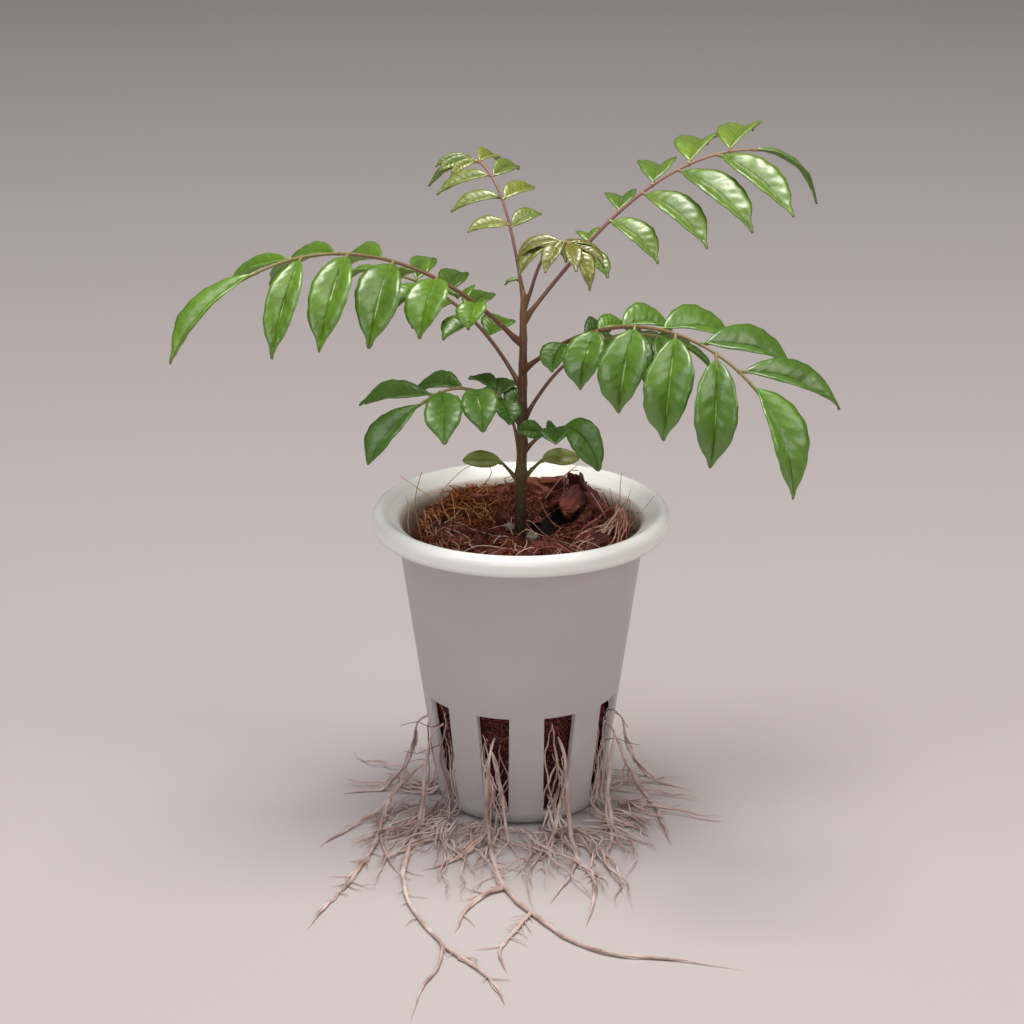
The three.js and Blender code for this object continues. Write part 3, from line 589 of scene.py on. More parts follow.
def add_chip(mesh, grain, number, x, y, lift, turn, tilt, roll, length, width, thickness):
    cells = (16, 9, 5) if length > 6 else (8, 4, 3)
    turned = Euler((roll * DEG, tilt * DEG, turn * DEG)).to_matrix()
    place = Vector((x, y, bed_height(x, y) + lift))
    corners = {}

    def corner(cell):
        if cell not in corners:
            u, v, w = (cell[axis] / cells[axis] - 0.5 for axis in range(3))
            end = max(abs(u) * 2 - 0.55, 0) / 0.45  # 0 over the middle, 1 at both ends
            ragged = noise.fractal(Vector((u * 2.4, v * 8, w * 5 + number * 7.3)), 0.7, 2.0, 3)
            chewed = noise.noise(Vector((number * 3.1, v * 8, w * 3)))
            warp = noise.noise(Vector((u * 1.7, v, number * 5.7))) * length
            p = Vector(((u + 0.14 * end * chewed) * length,
                        v * width * (1 - 0.4 * end * end) * (1 + 0.3 * ragged) + 0.08 * warp,
                        w * thickness * (1 - 0.6 * end * end) * (1 + 0.55 * ragged) + 0.1 * warp))
            corners[cell] = mesh.verts.new((place + turned @ p) * MM)
            corners[cell][grain] = Vector((u * length * 0.13, v * width, w * thickness + number * 3.7))
        return corners[cell]

    for axis in range(3):
        sizes = cells[axis:] + cells[:axis]
        for level, i, j in product((0, sizes[0]), range(sizes[1]), range(sizes[2])):
            ring = [(level, i + di, j + dj) for di, dj in ((0, 0), (1, 0), (1, 1), (0, 1))]
            ring = [corner(cell[-axis:] + cell[:-axis]) for cell in ring]
            mesh.faces.new(ring if level else ring[::-1])


chance = np.random.default_rng(31)
small = list(SHARDS)
while len(small) < len(SHARDS) + TOP_FLAKES:  # most of them lie at the right and in front
    x, y = chance.uniform(-21, 21, 2)
    if not 2.5 <= math.hypot(x, y) <= 20.5 or chance.random() > 0.62 + 0.02 * x - 0.01 * y:
        continue
    if hills(x, y, HOLLOWS) <= 2.6:
        small.append((x, y, *chance.uniform((0, 0, -22, -8, 2.2, 0.8, 0.5), (0.5, 180, 22, 45, 5.2, 2, 1))))
for _ in range(SLOT_FLAKES):  # these stand on edge behind the slots
    angle, z = chance.uniform((0, 6), (360, 24))
    x, y = direction(angle)[:2] * (inner_radius(z) - 1.4)
    shape = chance.uniform((-50, 70, 2.5, 1, 0.6), (50, 110, 5.5, 2.4, 1.2))
    small.append((x, y, z - bed_height(x, y), angle + 90, *shape))
chips = bmesh.new()
grain = chips.verts.layers.float_vector.new("grain")
for number, chip in enumerate(CHIPS + small):
    add_chip(chips, grain, number, *chip)
husk_chips = new_piece("husk_chips", chips)

# %% Husk material
# Dry husk is a warm brown that streaks along the grain. Soaked husk is darker, in blotches, and
# behind the slots it is wine red.
coconut_husk, shader, where = start_material("coconut_husk", Roughness=0.6, Specular_IOR_Level=0.45)
place = add("Attribute", attribute_name="grain").outputs["Vector"]
streaks = add("TexNoise", Vector=place, Scale=2.6, Detail=5.0, Roughness=0.7)
blotches = add("MapRange", add("TexNoise", Vector=where, Scale=110.0, Detail=2.0), 0.4, 0.6)
dry, soaked, wine = (add("ValToRGB", streaks, stops=stops) for stops in (
    ((0.32, "#35120e"), (0.47, "#7e3629"), (0.6, "#a85a42"), (0.72, "#c98a68")),
    ((0.32, "#200b0a"), (0.5, "#571f1c"), (0.68, "#8a4435")),
    ((0.32, "#1a0608"), (0.5, "#4c171b"), (0.68, "#7c312f")),
))
low = add("MapRange", add("SeparateXYZ", where).outputs["Z"], 40 * MM, 30 * MM)
husk = add("Mix", low, add("Mix", blotches, dry, soaked, data_type="RGBA"), wine, data_type="RGBA")
finish_material(shader, husk, streaks, 1.0, 0.5)
husk_chips.data.materials.append(coconut_husk)
hand_in(husk_chips, "husk", *[f"husk_chip_{i + 1}" for i in range(len(CHIPS))])

# %% [markdown]
# ### Pale grains
#
# Two grains of expanded perlite, a puffed volcanic glass, lie against the stem's foot. They are
# chalky, and full of pits a few tenths of a millimetre wide. A ball that noise has dented is
# enough at this size, and its small flat faces suit a crumbly grain.

# %% Grains
GRAINS = [(-2.3, 1.9, 2.6, 20), (2.2, 2.3, 3.0, 75)]  # x, y, length and turn
grains = bmesh.new()
for x, y, size, turn in GRAINS:
    middle = Vector((x, y, max(bed_height(x, y) + 0.4, 55.6)))
    for vert in bmesh.ops.create_icosphere(grains, subdivisions=4, radius=0.5)["verts"]:
        lump = 1 + 0.5 * noise.fractal(vert.co * 2.2 + middle, 0.7, 2.0, 3)
        p = Vector(np.array(vert.co) * (size, size * 0.7, size * 0.6) * lump)
        vert.co = (Matrix.Rotation(turn * DEG, 3, "Z") @ p + middle) * MM
pale_grains = new_piece("pale_grains", grains, smooth=False)
expanded_perlite, shader, where = start_material("expanded_perlite", Roughness=0.75, Specular_IOR_Level=0.3)
pits = add("TexNoise", Vector=where, Scale=1500.0, Detail=3.0)
chalk = add("ValToRGB", pits, stops=((0.35, "#6f7466"), (0.5, "#a3a898"), (0.65, "#c9cbbd")))
finish_material(shader, chalk, pits, 0.7, 0.25)
pale_grains.data.materials.append(expanded_perlite)
hand_in(pale_grains, "coir")

# %% [markdown]
# ## Strands
#
# A strand is a round thread that follows a line: a loose fibre, a root, the stem. The tree turns
# each line of edges into a curve and shakes it with noise, so that it isn't too straight. Each
# line has its own `phase` of the noise, and two strands on one course part and meet again. No
# strand sinks below `Floor`. Last, a circle is swept along it, scaled by the line's own width.

# %% The strand tree
strand_tree, given = new_tree("strands", Lines="Geometry", Sides="Int", Shake="Float", Wavelength="Float",
                              Knobbles="Float", Floor="Float", Material="Material")
frequency = add("Math", 1.0, given["Wavelength"], operation="DIVIDE")
push = wander(given["Shake"], W=add("InputNamedAttribute", "phase"), Scale=frequency, noise_dimensions="4D")
push = add("VectorMath", push, add("InputNamedAttribute", "loose"), operation="SCALE")
curves = add("SetPosition", add("MeshToCurve", given["Lines"]), Offset=push)
width = add("InputNamedAttribute", "width")
thickest = add("Math", given["Knobbles"], 0.85, 1.0, operation="MULTIPLY_ADD")
least = add("Math", width, thickest, given["Floor"], operation="MULTIPLY_ADD")
spot = add("SeparateXYZ", add("InputPosition")).outputs
rest = add("Math", spot["Z"], least, operation="MAXIMUM")
curves = add("SetPosition", curves, Position=add("CombineXYZ", spot["X"], spot["Y"], rest))
bumps = add("TexNoise", Scale=700.0, Detail=1.0)
gain = add("Math", bumps, given["Knobbles"], 1.0, operation="MULTIPLY_ADD")
girth = add("Math", width, gain, operation="MULTIPLY")
end_tree(sweep(curves, given["Sides"], girth), (given["Material"], True))


def smooth_course(points, spacing):
    """Points along a centripetal Catmull-Rom curve through the given ones. A height left out is 0."""
    p = [np.array((*point, 0)[:3], float) for point in points]
    p = [2 * p[0] - p[1]] + p + [2 * p[-1] - p[-2]]
    course = []
    for four in zip(p, p[1:], p[2:], p[3:]):
        t = np.cumsum([0] + [max(np.linalg.norm(b - a), 1e-6) ** 0.5 for a, b in zip(four, four[1:])])
        steps = max(1, round(np.linalg.norm(four[2] - four[1]) / spacing))
        for x in np.linspace(t[1], t[2], steps, endpoint=False):
            three = [lerp((a, b), (x - s) / (e - s)) for a, b, s, e in zip(four, four[1:], t, t[1:])]
            two = [lerp((a, b), (x - s) / (e - s)) for a, b, s, e in zip(three, three[1:], t, t[2:])]
            course.append(lerp(two, (x - t[1]) / (t[2] - t[1])))
    return np.array(course + [p[-2]])

# %% [markdown]
# ## Coir fibres
#
# The bed's skin is a tangle of fibres, up to a fifth of a millimetre thick and 12 mm long. Too
# many to draw by hand, they are scattered: points fall on the faces that can be seen, a bent
# thread lies on each, noise bends it further, and no thread may pass through the pot's wall, so
# points beyond it are drawn back. The longer fibres that stand over the rim or cross the bed
# come after them as lines, because they are seen one by one against the light.

# %% The scatter tree
scatter_tree, given = new_tree(
    "coir_scatter", Bed="Geometry", Density="Float", Length="Float", Thickness="Float", Bend="Float",
    Tilt="Float", Curl="Float", Rise="Float", Seed="Int", Material="Material",
)
density = add("Math", add("InputNamedAttribute", "seen"), given["Density"], operation="MULTIPLY")
spots = add("DistributePointsOnFaces", given["Bed"], Density=density, Seed=given["Seed"])
thread = add("ResampleCurve", add("CurvePrimitiveLine", (-0.5, 0, 0), (0.5, 0, 0)), Count=10)
x = add("SeparateXYZ", add("InputPosition"))
square = add("Math", x, x, operation="MULTIPLY")
bow = add("Math", square, given["Bend"], operation="MULTIPLY")
sink = add("Math", square, -0.35, operation="MULTIPLY")
thread = add("SetPosition", thread, Offset=add("CombineXYZ", Y=bow, Z=sink))
back = add("Math", given["Tilt"], -1.0, operation="MULTIPLY")
least = add("CombineXYZ", back, back, -math.pi)
most = add("CombineXYZ", given["Tilt"], given["Tilt"], math.pi)
spin = add("RandomValue", least, most, Seed=given["Seed"], data_type="FLOAT_VECTOR")
spin = add("EulerToRotation", spin)
turned = add("RotateRotation", spots.outputs["Rotation"], spin, rotation_space="LOCAL")
size = add("Math", add("RandomValue", 0.35, 1.0, Seed=7), given["Length"], operation="MULTIPLY")
laid = add("InstanceOnPoints", spots, Instance=thread, Rotation=turned, Scale=size)
tone = add("RandomValue", 0.0, 0.8, Seed=3)
toned = add("StoreNamedAttribute", laid, Name="tone", Value=tone, domain="INSTANCE")
push = add("VectorMath", wander(given["Curl"], Scale=190.0), add("CombineXYZ", Z=given["Rise"]))
threads = add("SetPosition", add("RealizeInstances", toned), Offset=push)
# A point beyond the pot's wall is drawn back to it.
spot = add("InputPosition")
walls = ((inner_radius(z) - 0.2) * MM for z in (6, 58))
room = add("MapRange", add("SeparateXYZ", spot).outputs["Z"], 6 * MM, 58 * MM, *walls)
far = add("VectorMath", add("VectorMath", spot, (1, 1, 0), operation="MULTIPLY"), operation="LENGTH")
shrink = add("Math", add("Math", room, far, operation="DIVIDE"), 1.0, operation="MINIMUM")
held = add("VectorMath", spot, add("CombineXYZ", shrink, shrink, 1.0), operation="MULTIPLY")
end_tree(sweep(add("SetPosition", threads, Position=held), 3, given["Thickness"]), (given["Material"], True))

# %% Fibre material
# Wet fibres run from near black to pink straw. Dried ones, at the back left, are orange.
coir_fibre, shader, where = start_material("coir_fibre", Roughness=0.55, Specular_IOR_Level=0.4)
tone = add("Attribute", attribute_name="tone").outputs["Fac"]
wet, dried = (add("ValToRGB", tone, stops=stops) for stops in (
    ((0.0, "#300f0c"), (0.4, "#702a1e"), (0.66, "#9c5038"), (0.8, "#c08a70"), (1.0, "#dcbcaa")),
    ((0.0, "#5e2814"), (0.3, "#9c4c22"), (0.6, "#c0723a"), (0.8, "#d69a66")),
))
place = add("SeparateXYZ", where).outputs
left = add("MapRange", place["X"], -1 * MM, -7 * MM)
patch = add("Math", left, add("MapRange", place["Y"], -3 * MM, 4 * MM), operation="MULTIPLY")
connect(shader.inputs["Base Color"], add("Mix", patch, wet, dried, data_type="RGBA"))

# %% Scatter the fibres
# The felt is the fine matted part. The fibres proper are longer, thicker and fewer.
FIBRES = {
    "coir_felt": dict(Density=1150000.0, Length=6 * MM, Thickness=0.07 * MM, Bend=1.4, Tilt=0.12,
                      Curl=4 * MM, Rise=0.1 * MM, Seed=4),
    "coir_fibres": dict(Density=170000.0, Length=12 * MM, Thickness=0.1 * MM, Bend=0.9, Tilt=0.22,
                        Curl=6 * MM, Rise=0.4 * MM, Seed=8),
}
for name, sizes in FIBRES.items():
    bed_copy = coir_bed.data.copy()
    bed_copy.materials.clear()
    hand_in(grow(name, bed_copy, scatter_tree, Material=coir_fibre, **sizes), "coir")

# %% Loose fibres
THREAD_TAPER = (1.5, 0.75)  # a fibre's thickness at its foot and tip, as a share of the listed one
# Each one: its points in mm, and its thickness. The last four hang out of the slots.
LOOSE = [
    ([(-19.5, -5, 56), (-20.6, -5, 61.5), (-21, -5, 66), (-19.6, -5, 72)], 0.17),
    ([(-15.5, 7, 57), (-17, 7, 61), (-20.5, 7, 64), (-24.5, 7, 67)], 0.15),
    ([(-14, 2, 58), (-16, 3, 64), (-12, 4, 69), (-8.5, 5, 70.5)], 0.13),
    ([(-22, -2, 56), (-22.6, -2, 60), (-22.4, -2, 63.5), (-23, -2.6, 66)], 0.13),
    ([(19, -1, 56), (16.5, -1, 62), (14.2, -1, 66)], 0.2),
    ([(19.4, -3, 56), (19.6, -3, 63), (20, -3, 71)], 0.15),
    ([(20, -3, 57), (23.4, -3.2, 62), (26.6, -3.4, 66.2)], 0.15),
    ([(20.3, -4, 57), (20.6, -4, 62), (20.8, -4, 66.5)], 0.13),
    ([(21.2, -4.4, 57), (21.8, -4.4, 62), (21.6, -4.4, 66)], 0.13),
    ([(16, 4, 59), (13.5, 3, 62), (10, 4, 64)], 0.12),
    ([(-2, -3, 56.5), (1.5, -6, 60), (5, -8, 57.5)], 0.15),
    ([(7, 4, 57), (4.8, 2, 61), (3.6, 1, 64.5)], 0.14),
    ([(5, 13, 60), (8, 12, 64.5), (11.5, 11, 68)], 0.14),
    ([(-9, 16, 60), (-6, 15, 65), (-8, 14, 68)], 0.12),
    ([(-15, -8.6, 20), (-18, -9.6, 19), (-21, -10.2, 20.4), (-24.4, -10.6, 19.6)], 0.12),
    ([(-15.2, -8.4, 15), (-18.5, -9.4, 14.2), (-21, -9.8, 13.4), (-23.6, -10.4, 14.2)], 0.11),
    ([(15.6, -8, 21), (18.4, -8.4, 22.4), (20.4, -8.6, 20.6), (21.6, -8.8, 18.6)], 0.12),
    ([(16, -7, 14.6), (19, -7.6, 15.8), (21.6, -8, 15), (24, -8.4, 14.6)], 0.12),
]
chance = np.random.default_rng(5)


def within(point, radius):
    return point * min(1, radius / np.hypot(*point))


def lay_thread(start, end, lift, width, slack):
    """A slack thread from place to place. A height left out is the bed's."""
    a, b = (np.array(p if len(p) == 3 else (*p, bed_height(*p) + 0.4), float) for p in (start, end))
    points = [a, lerp((a, b), 0.35), lerp((a, b), 0.7), b]
    for point in points[1:3]:
        point += chance.normal(0, slack, 3) * np.linalg.norm(b - a)
        point[:2] = within(point[:2], 22)
        point[2] = max(point[2], bed_height(*point[:2]) + lift)
    LOOSE.append((points, width))


for _ in range(30):  # a straw-coloured tuft at the right that fans down to the front
    foot, end = chance.uniform((19, -4, 60.5), (21, 1, 64)), chance.uniform((9, -11), (21, -7))
    lay_thread(foot, end, 0.5, 0.2, 0.05)
for _ in range(10):  # dark hairs from the same place
    foot = np.array((*chance.uniform((18.5, -4), (20.5, 0)), 59))
    reach = chance.uniform((-9, -3, 3), (3, 1, 9))
    LOOSE.append(([foot, foot + reach * 0.5 + chance.normal(0, 0.7, 3), foot + reach], 0.1))
for _ in range(18):  # a sheaf along the left wall
    start, end = chance.uniform((-20.5, -2), (-16, 9)), chance.uniform((-17.5, -16), (-7, -8))
    lay_thread(start, end, 0.5, 0.15, 0.05)
for _ in range(58):  # long pale threads that cross the bed, most of them in front
    middle = within(chance.uniform((-17, -19), (17, 8)), 17)
    heading, half = chance.uniform((0, 2.5), (360, 6.5))
    step = direction(heading)[:2] * half
    lift, width = chance.uniform((0.4, 0.13), (1.8, 0.19))
    lay_thread(within(middle - step, 21.5), within(middle + step, 21.5), lift, width, 0.09)
for x in (-3.6, -2.4, 2.2, 3.4):  # dry bits behind the stem's foot
    for _ in range(5):
        foot = np.array((x, chance.uniform(3, 9), 58.5))
        knee = foot + chance.normal(0, 0.8, 3) + (0, 0, 1.6)
        tip = foot + chance.normal(0, 1.5, 3) + (0, 0, 3.4)
        LOOSE.append(([foot, knee, tip], 0.12))
lines = []
for points, width in LOOSE:
    course = smooth_course(points, 0.9)
    share = np.linspace(0, 1, len(course))
    lines.append(dict(points=course, width=width / 2 * lerp(THREAD_TAPER, share) * MM, loose=share,
                      phase=chance.uniform(0, 9), tone=chance.uniform(0.7, 1.0) if width > 0.12 else 0.2))
loose_fibres = grow("loose_fibres", lines_mesh("loose_fibres", lines), strand_tree, Sides=5, Shake=0.9 * MM,
                    Wavelength=6 * MM, Knobbles=0.3, Floor=0.0, Material=coir_fibre)
hand_in(loose_fibres, "coir")

# %% [markdown]
# ## The stem
#
# The stem is young wood, 2.3 mm thick at the foot and about half of that at the tip. Where a
# leaf joins it, it swells a little. It runs down into the coir. Its line is worked out here
# because the leaves start on it, and it is grown after them.

# %% Stem line
STEM_Z = (44.5, 57, 75.2, 92.2, 103.2, 110.5)
STEM_X = (-0.2, -0.2, 0.15, 0.35, 0.45, 0.56)
STEM_RADII, STEM_THINNING = (1.05, 0.55), 1.4


def stem_at(z):
    """The stem's centre and radius at a height."""
    share = (z - STEM_Z[0]) / (STEM_Z[-1] - STEM_Z[0])
    return np.array((np.interp(z, STEM_Z, STEM_X), 0, z)), lerp(STEM_RADII, share ** STEM_THINNING)


print("Stem radius at the coir:", round(stem_at(57)[1], 2), "mm")

# %% [markdown]
# ## The feather-shaped leaves
#
# A curry leaf is compound: pairs of leaflets and one at the end stand on a stalk, the rachis.
# Each leaf here is one entry of a table. It leaves the stem at height `z`, and its rachis turns
# from heading `az[0]` to `az[1]` and sinks from elevation `el[0]` to `el[1]`, the later the
# higher `k` is. Leaflet pairs stand over the shares `span` of it, the second row shifted by
# `stagger`. They part from it by `spread`, start at the slope `rise` and end at the slope
# `droop`, `lean` tips the two rows against each other, and `roll` turns their faces. `size` and
# `ratio` are their length and their width to length, and a higher `swell` makes them grow sooner
# along the rachis. `fold` is how far a leaflet's halves are folded up along its midrib.
#
# `shape` is a blade's fullness, its drawn-out tip, where it is widest, and a small sideways
# curve. `back` flattens and turns the far row. `more` lists single leaflets as share of the
# rachis, heading, rise, droop, length, ratio and roll, and `end` is the leaflet at the end.

# %% Leaf table
USUAL = dict(pairs=0, stagger=0, swell=1, swing=0, roll=(0, 0), shape=(0.85, 0.42, 0.87, 0), back=None,
             more=())
LEAVES = {
    "seed_leaf_left": dict(
        age="seed", z=69.6, az=(178, 181), el=(52, 44), k=1, length=3.4, rachis=(0.5, 0.42), fold=8,
        shape=(0.6, 0, 0.95, 0), end=dict(turn=4, rise=14, droop=-8, length=7.6, ratio=0.5, roll=-38)),
    "seed_leaf_right": dict(
        age="seed", z=70.1, az=(2, -1), el=(50, 40), k=1, length=3.4, rachis=(0.5, 0.42), fold=8,
        shape=(0.6, 0, 0.95, 0), end=dict(turn=-4, rise=16, droop=-6, length=7.6, ratio=0.5, roll=38)),
    "frond_low_right": dict(
        age="old", z=75.8, az=(-35, -51), el=(48, 10), k=1.5, length=10.6, rachis=(0.55, 0.42), fold=16,
        pairs=2, span=(0.5, 0.81), stagger=0.1, spread=(105, 38), lean=-15, rise=(11, -4), droop=(-13, -35),
        size=(6.2, 7.4), ratio=(0.72, 0.9), roll=(-45, 5), shape=(0.7, 0.2, 0.95, 0.04),
        end=dict(turn=2, rise=24, droop=-78, length=14.4, ratio=0.46, roll=34)),
    "frond_low_back": dict(
        age="old", z=76.6, az=(126, 132), el=(73, 26), k=1.3, length=10.8, rachis=(0.5, 0.4), fold=22,
        pairs=2, span=(0.63, 0.9), stagger=0.4, spread=(77, 61), lean=-5, rise=(32, 11), droop=(-6, -21),
        size=(6.5, 9), ratio=(0.8, 0.6), shape=(0.75, 0.25, 0.95, 0),
        end=dict(turn=-4, droop=-22, length=9.3, ratio=0.5)),
    "frond_low_left": dict(
        age="old", z=81.7, az=(206, 222), el=(51, -23), k=1.3, length=24.6, rachis=(0.52, 0.36), fold=20,
        pairs=3, span=(0.27, 0.89), stagger=-0.2, spread=(83, 57), lean=-4.5, rise=(20, 10), droop=(-59, -47),
        size=(7, 16), ratio=(0.85, 0.5), shape=(0.75, 0.22, 1.2, 0.03), back=(0.6, 15),
        end=dict(turn=-6.6, droop=-55, length=17, ratio=0.52)),
    "frond_back_right": dict(
        age="old", z=83.4, az=(14, -12), el=(58, -22), k=1.44, length=35, rachis=(0.6, 0.4), fold=22,
        pairs=4, span=(0.42, 0.88), stagger=0.1, spread=(75, 65), lean=4, rise=(12, -3), droop=(-59, -65),
        size=(6.5, 13.6), ratio=(0.85, 0.4), shape=(0.75, 0.3, 0.9, 0), back=(0.6, 15),
        end=dict(turn=2, droop=-50, length=9, ratio=0.4)),
    "frond_back_left": dict(
        age="fresh", z=88.7, az=(128, 160), el=(42, 3), k=1.6, length=38.5, rachis=(0.6, 0.4), fold=22,
        pairs=4, span=(0.3, 0.81), stagger=0.6, spread=(77, 75), lean=-11, rise=(17, 11), droop=(-24, -29),
        size=(8.5, 14), swell=1.1, ratio=(0.85, 0.42), shape=(0.8, 0.35, 0.9, 0), back=(0.7, 16),
        end=dict(turn=-3, droop=-60, length=13, ratio=0.4)),
    "frond_right": dict(
        age="mature", z=92.6, az=(-45, -36), el=(38, -37), k=1.5, length=60, rachis=(0.68, 0.42), fold=25,
        pairs=5, span=(0.2, 0.85), stagger=0.6, spread=(82, 53), lean=23, rise=(9, -12), droop=(-73, -83),
        size=(6.5, 23), ratio=(1.0, 0.4), shape=(0.85, 0.36, 0.92, 0.05), back=(0.55, 24),
        more=((0.36, 42, 14, -34, 8.5, 0.62, 18),), end=dict(turn=-8, droop=-88, length=24, ratio=0.45)),
    "frond_left": dict(
        age="fresh", z=98, az=(180, 203), el=(46, -20), k=1.35, length=57.5, rachis=(0.68, 0.42), fold=25,
        pairs=5, span=(0.22, 0.87), stagger=-0.2, spread=(76, 55), lean=-9, rise=(13, -6), droop=(-66, -74),
        size=(7, 23), swell=1.4, ratio=(0.9, 0.31), shape=(0.85, 0.38, 0.95, 0.06), back=(0.5, 22),
        end=dict(turn=3, droop=-64, length=25, ratio=0.35)),
    "frond_top_right": dict(
        age="young", z=103, az=(32, 17), el=(44, -4), k=2.4, length=58, rachis=(0.62, 0.4), fold=24,
        pairs=5, span=(0.27, 0.87), stagger=0.3, spread=(69, 65), lean=10, rise=(9, 4), droop=(-44, -30),
        size=(8.5, 23), swell=1.1, swing=-9, ratio=(0.62, 0.38), roll=(8, 8),
        end=dict(turn=-12, droop=-79, length=19, ratio=0.22)),
    "frond_top_back": dict(
        age="tender", z=108.8, az=(112, 119), el=(64, -14), k=2.3, length=33, rachis=(0.5, 0.38), fold=26,
        pairs=4, span=(0.35, 0.89), stagger=0.1, spread=(72, 46), lean=-9, rise=(15, -3), droop=(-16, -38),
        size=(8.5, 12), swell=1.2, ratio=(0.52, 0.37), roll=(22, 22),
        more=((0.02, 190, 8, -30, 3.4, 0.5, 0), (0.92, 207, 0, -48, 6.5, 0.36, -35),
              (0.96, 192, 8, -44, 8, 0.32, -40), (0.99, 178, 14, -38, 7.5, 0.32, -40)),
        end=dict(turn=-5, droop=-29, length=17, ratio=0.28)),
    "frond_bud": dict(
        age="bud", z=108, az=(-8, -52), el=(74, -10), k=2.2, length=16, rachis=(0.5, 0.42), fold=20,
        pairs=3, span=(0.7, 0.97), stagger=0.1, spread=(112, 30), lean=-2, rise=(-1, -2), droop=(-67, -53),
        size=(10, 8.5), ratio=(0.52, 0.42),
        more=((0.9, 236, 8, -80, 5, 0.42, 0), (0.95, 10, 6, -60, 8, 0.42, 0),
              (0.85, 176, 16, -62, 10.5, 0.32, -30)),
        end=dict(turn=-7, droop=-88, length=11, ratio=0.36)),
}
LEAVES = {name: USUAL | leaf for name, leaf in LEAVES.items()}
JOINT_GAP, RACHIS_STEPS = 0.35, 40
RACHIS_SLIM = 0.7  # a stalk is drawn with this share of its listed radius


def rachis_path(leaf):
    """The rachis as rows of x, y, z, heading and elevation."""
    centre, stem_radius = stem_at(leaf["z"])
    clear = stem_radius + JOINT_GAP + leaf["rachis"][0] * math.sin(leaf["el"][0] * DEG)
    point = centre + direction(leaf["az"][0]) * clear
    rows = [(*point, leaf["az"][0], leaf["el"][0])]
    for i in range(RACHIS_STEPS):
        share = (i + 0.5) / RACHIS_STEPS
        az, el = lerp(leaf["az"], share), lerp(leaf["el"], share ** leaf["k"])
        point = point + direction(az, el) * leaf["length"] / RACHIS_STEPS
        rows.append((*point, az, el))
    return np.array(rows)


def on_path(path, share):
    x = min(max(share, 0), 1) * RACHIS_STEPS
    i = min(int(x), RACHIS_STEPS - 1)
    row = lerp((path[i], path[i + 1]), x - i)
    return row[:3], row[3], row[4]


print("Leaves:", len(LEAVES))

# %% [markdown]
# ### The leaflets of a leaf
#
# A leaflet's midrib is an arc whose slope runs evenly from `rise` to `droop`. The blade starts
# after a short stalk of its own, is widest just before the middle, and is drawn out into a blunt
# tip. The `side` vector says which way its width lies. Leaflets near the stem are nearly round,
# and those near the leaf's end are long, so `ratio` is a pair as well.

# %% Midribs and stalks
OWN_STALK = 0.06  # share of a leaflet's length that is bare stalk
BLADE_STEPS, STALK_STEPS = 50, 8


def blade_width(t, fullness, tip, peak):
    """Half a leaflet's width along it. Low `fullness` is blunt, `tip` is how far it is drawn out."""
    t = np.clip((t - OWN_STALK) / (1 - OWN_STALK), 0, 1)
    return np.sin(math.pi * t ** peak) ** fullness * (1 - tip * np.exp(-((t - 0.92) / 0.09) ** 2))


def midrib(base, heading, rise, droop, length, shares):
    bend = (droop - rise) * DEG
    slopes = (rise + (droop - rise) * shares) * DEG
    out = length * (np.sin(slopes) - math.sin(rise * DEG)) / bend
    up = length * (math.cos(rise * DEG) - np.cos(slopes)) / bend
    return base + np.outer(out, direction(heading)) + np.outer(up, (0, 0, 1)), slopes


def stalk_line(points, width, along, side, kin):
    """A stalk has a line's numbers but no blade, so its width lies anywhere and nothing is shifted."""
    return dict(points=points, blade=0, width=width * MM, along=along, side=np.tile(side, (len(points), 1)),
                kin=kin, shift=np.zeros((len(points), 3)))


def leaflet_lines(base, heading, rise, droop, length, ratio, roll, wobble, shape=USUAL["shape"]):
    shares = np.linspace(0, 1, BLADE_STEPS) ** 0.9
    points, slopes = midrib(base, heading, rise, droop, length, shares)
    points[:, 0] -= length * shape[3] * shares ** 2.5
    level = Vector(direction(heading + 90))
    sides = np.array([Matrix.Rotation(roll * DEG, 3, Vector(direction(heading, slope / DEG))) @ level
                      for slope in slopes])
    ripple = 1 + 0.035 * np.sin(shares * 31 + wobble * 40) * np.sin(shares * 13 + wobble * 17)
    width = np.maximum(length * ratio * blade_width(shares, *shape[:3]) * ripple / 2, 0.05)
    # One half is wider near the foot and the other near the tip.
    uneven = width * (0.45 * wobble - 0.2) * np.cos(math.pi * shares)
    blade = dict(points=points, blade=1, width=width * MM, along=shares, side=sides, kin=wobble,
                 shift=uneven[:, None] * sides * MM)
    foot, _ = midrib(base, heading, rise, droop, length, np.linspace(-0.01, 0.2, STALK_STEPS))
    thin = np.linspace(0.42, 0.12, STALK_STEPS) * min(1, 0.55 + length / 40)
    return [blade, stalk_line(foot, thin, 0, level, 0.9)]


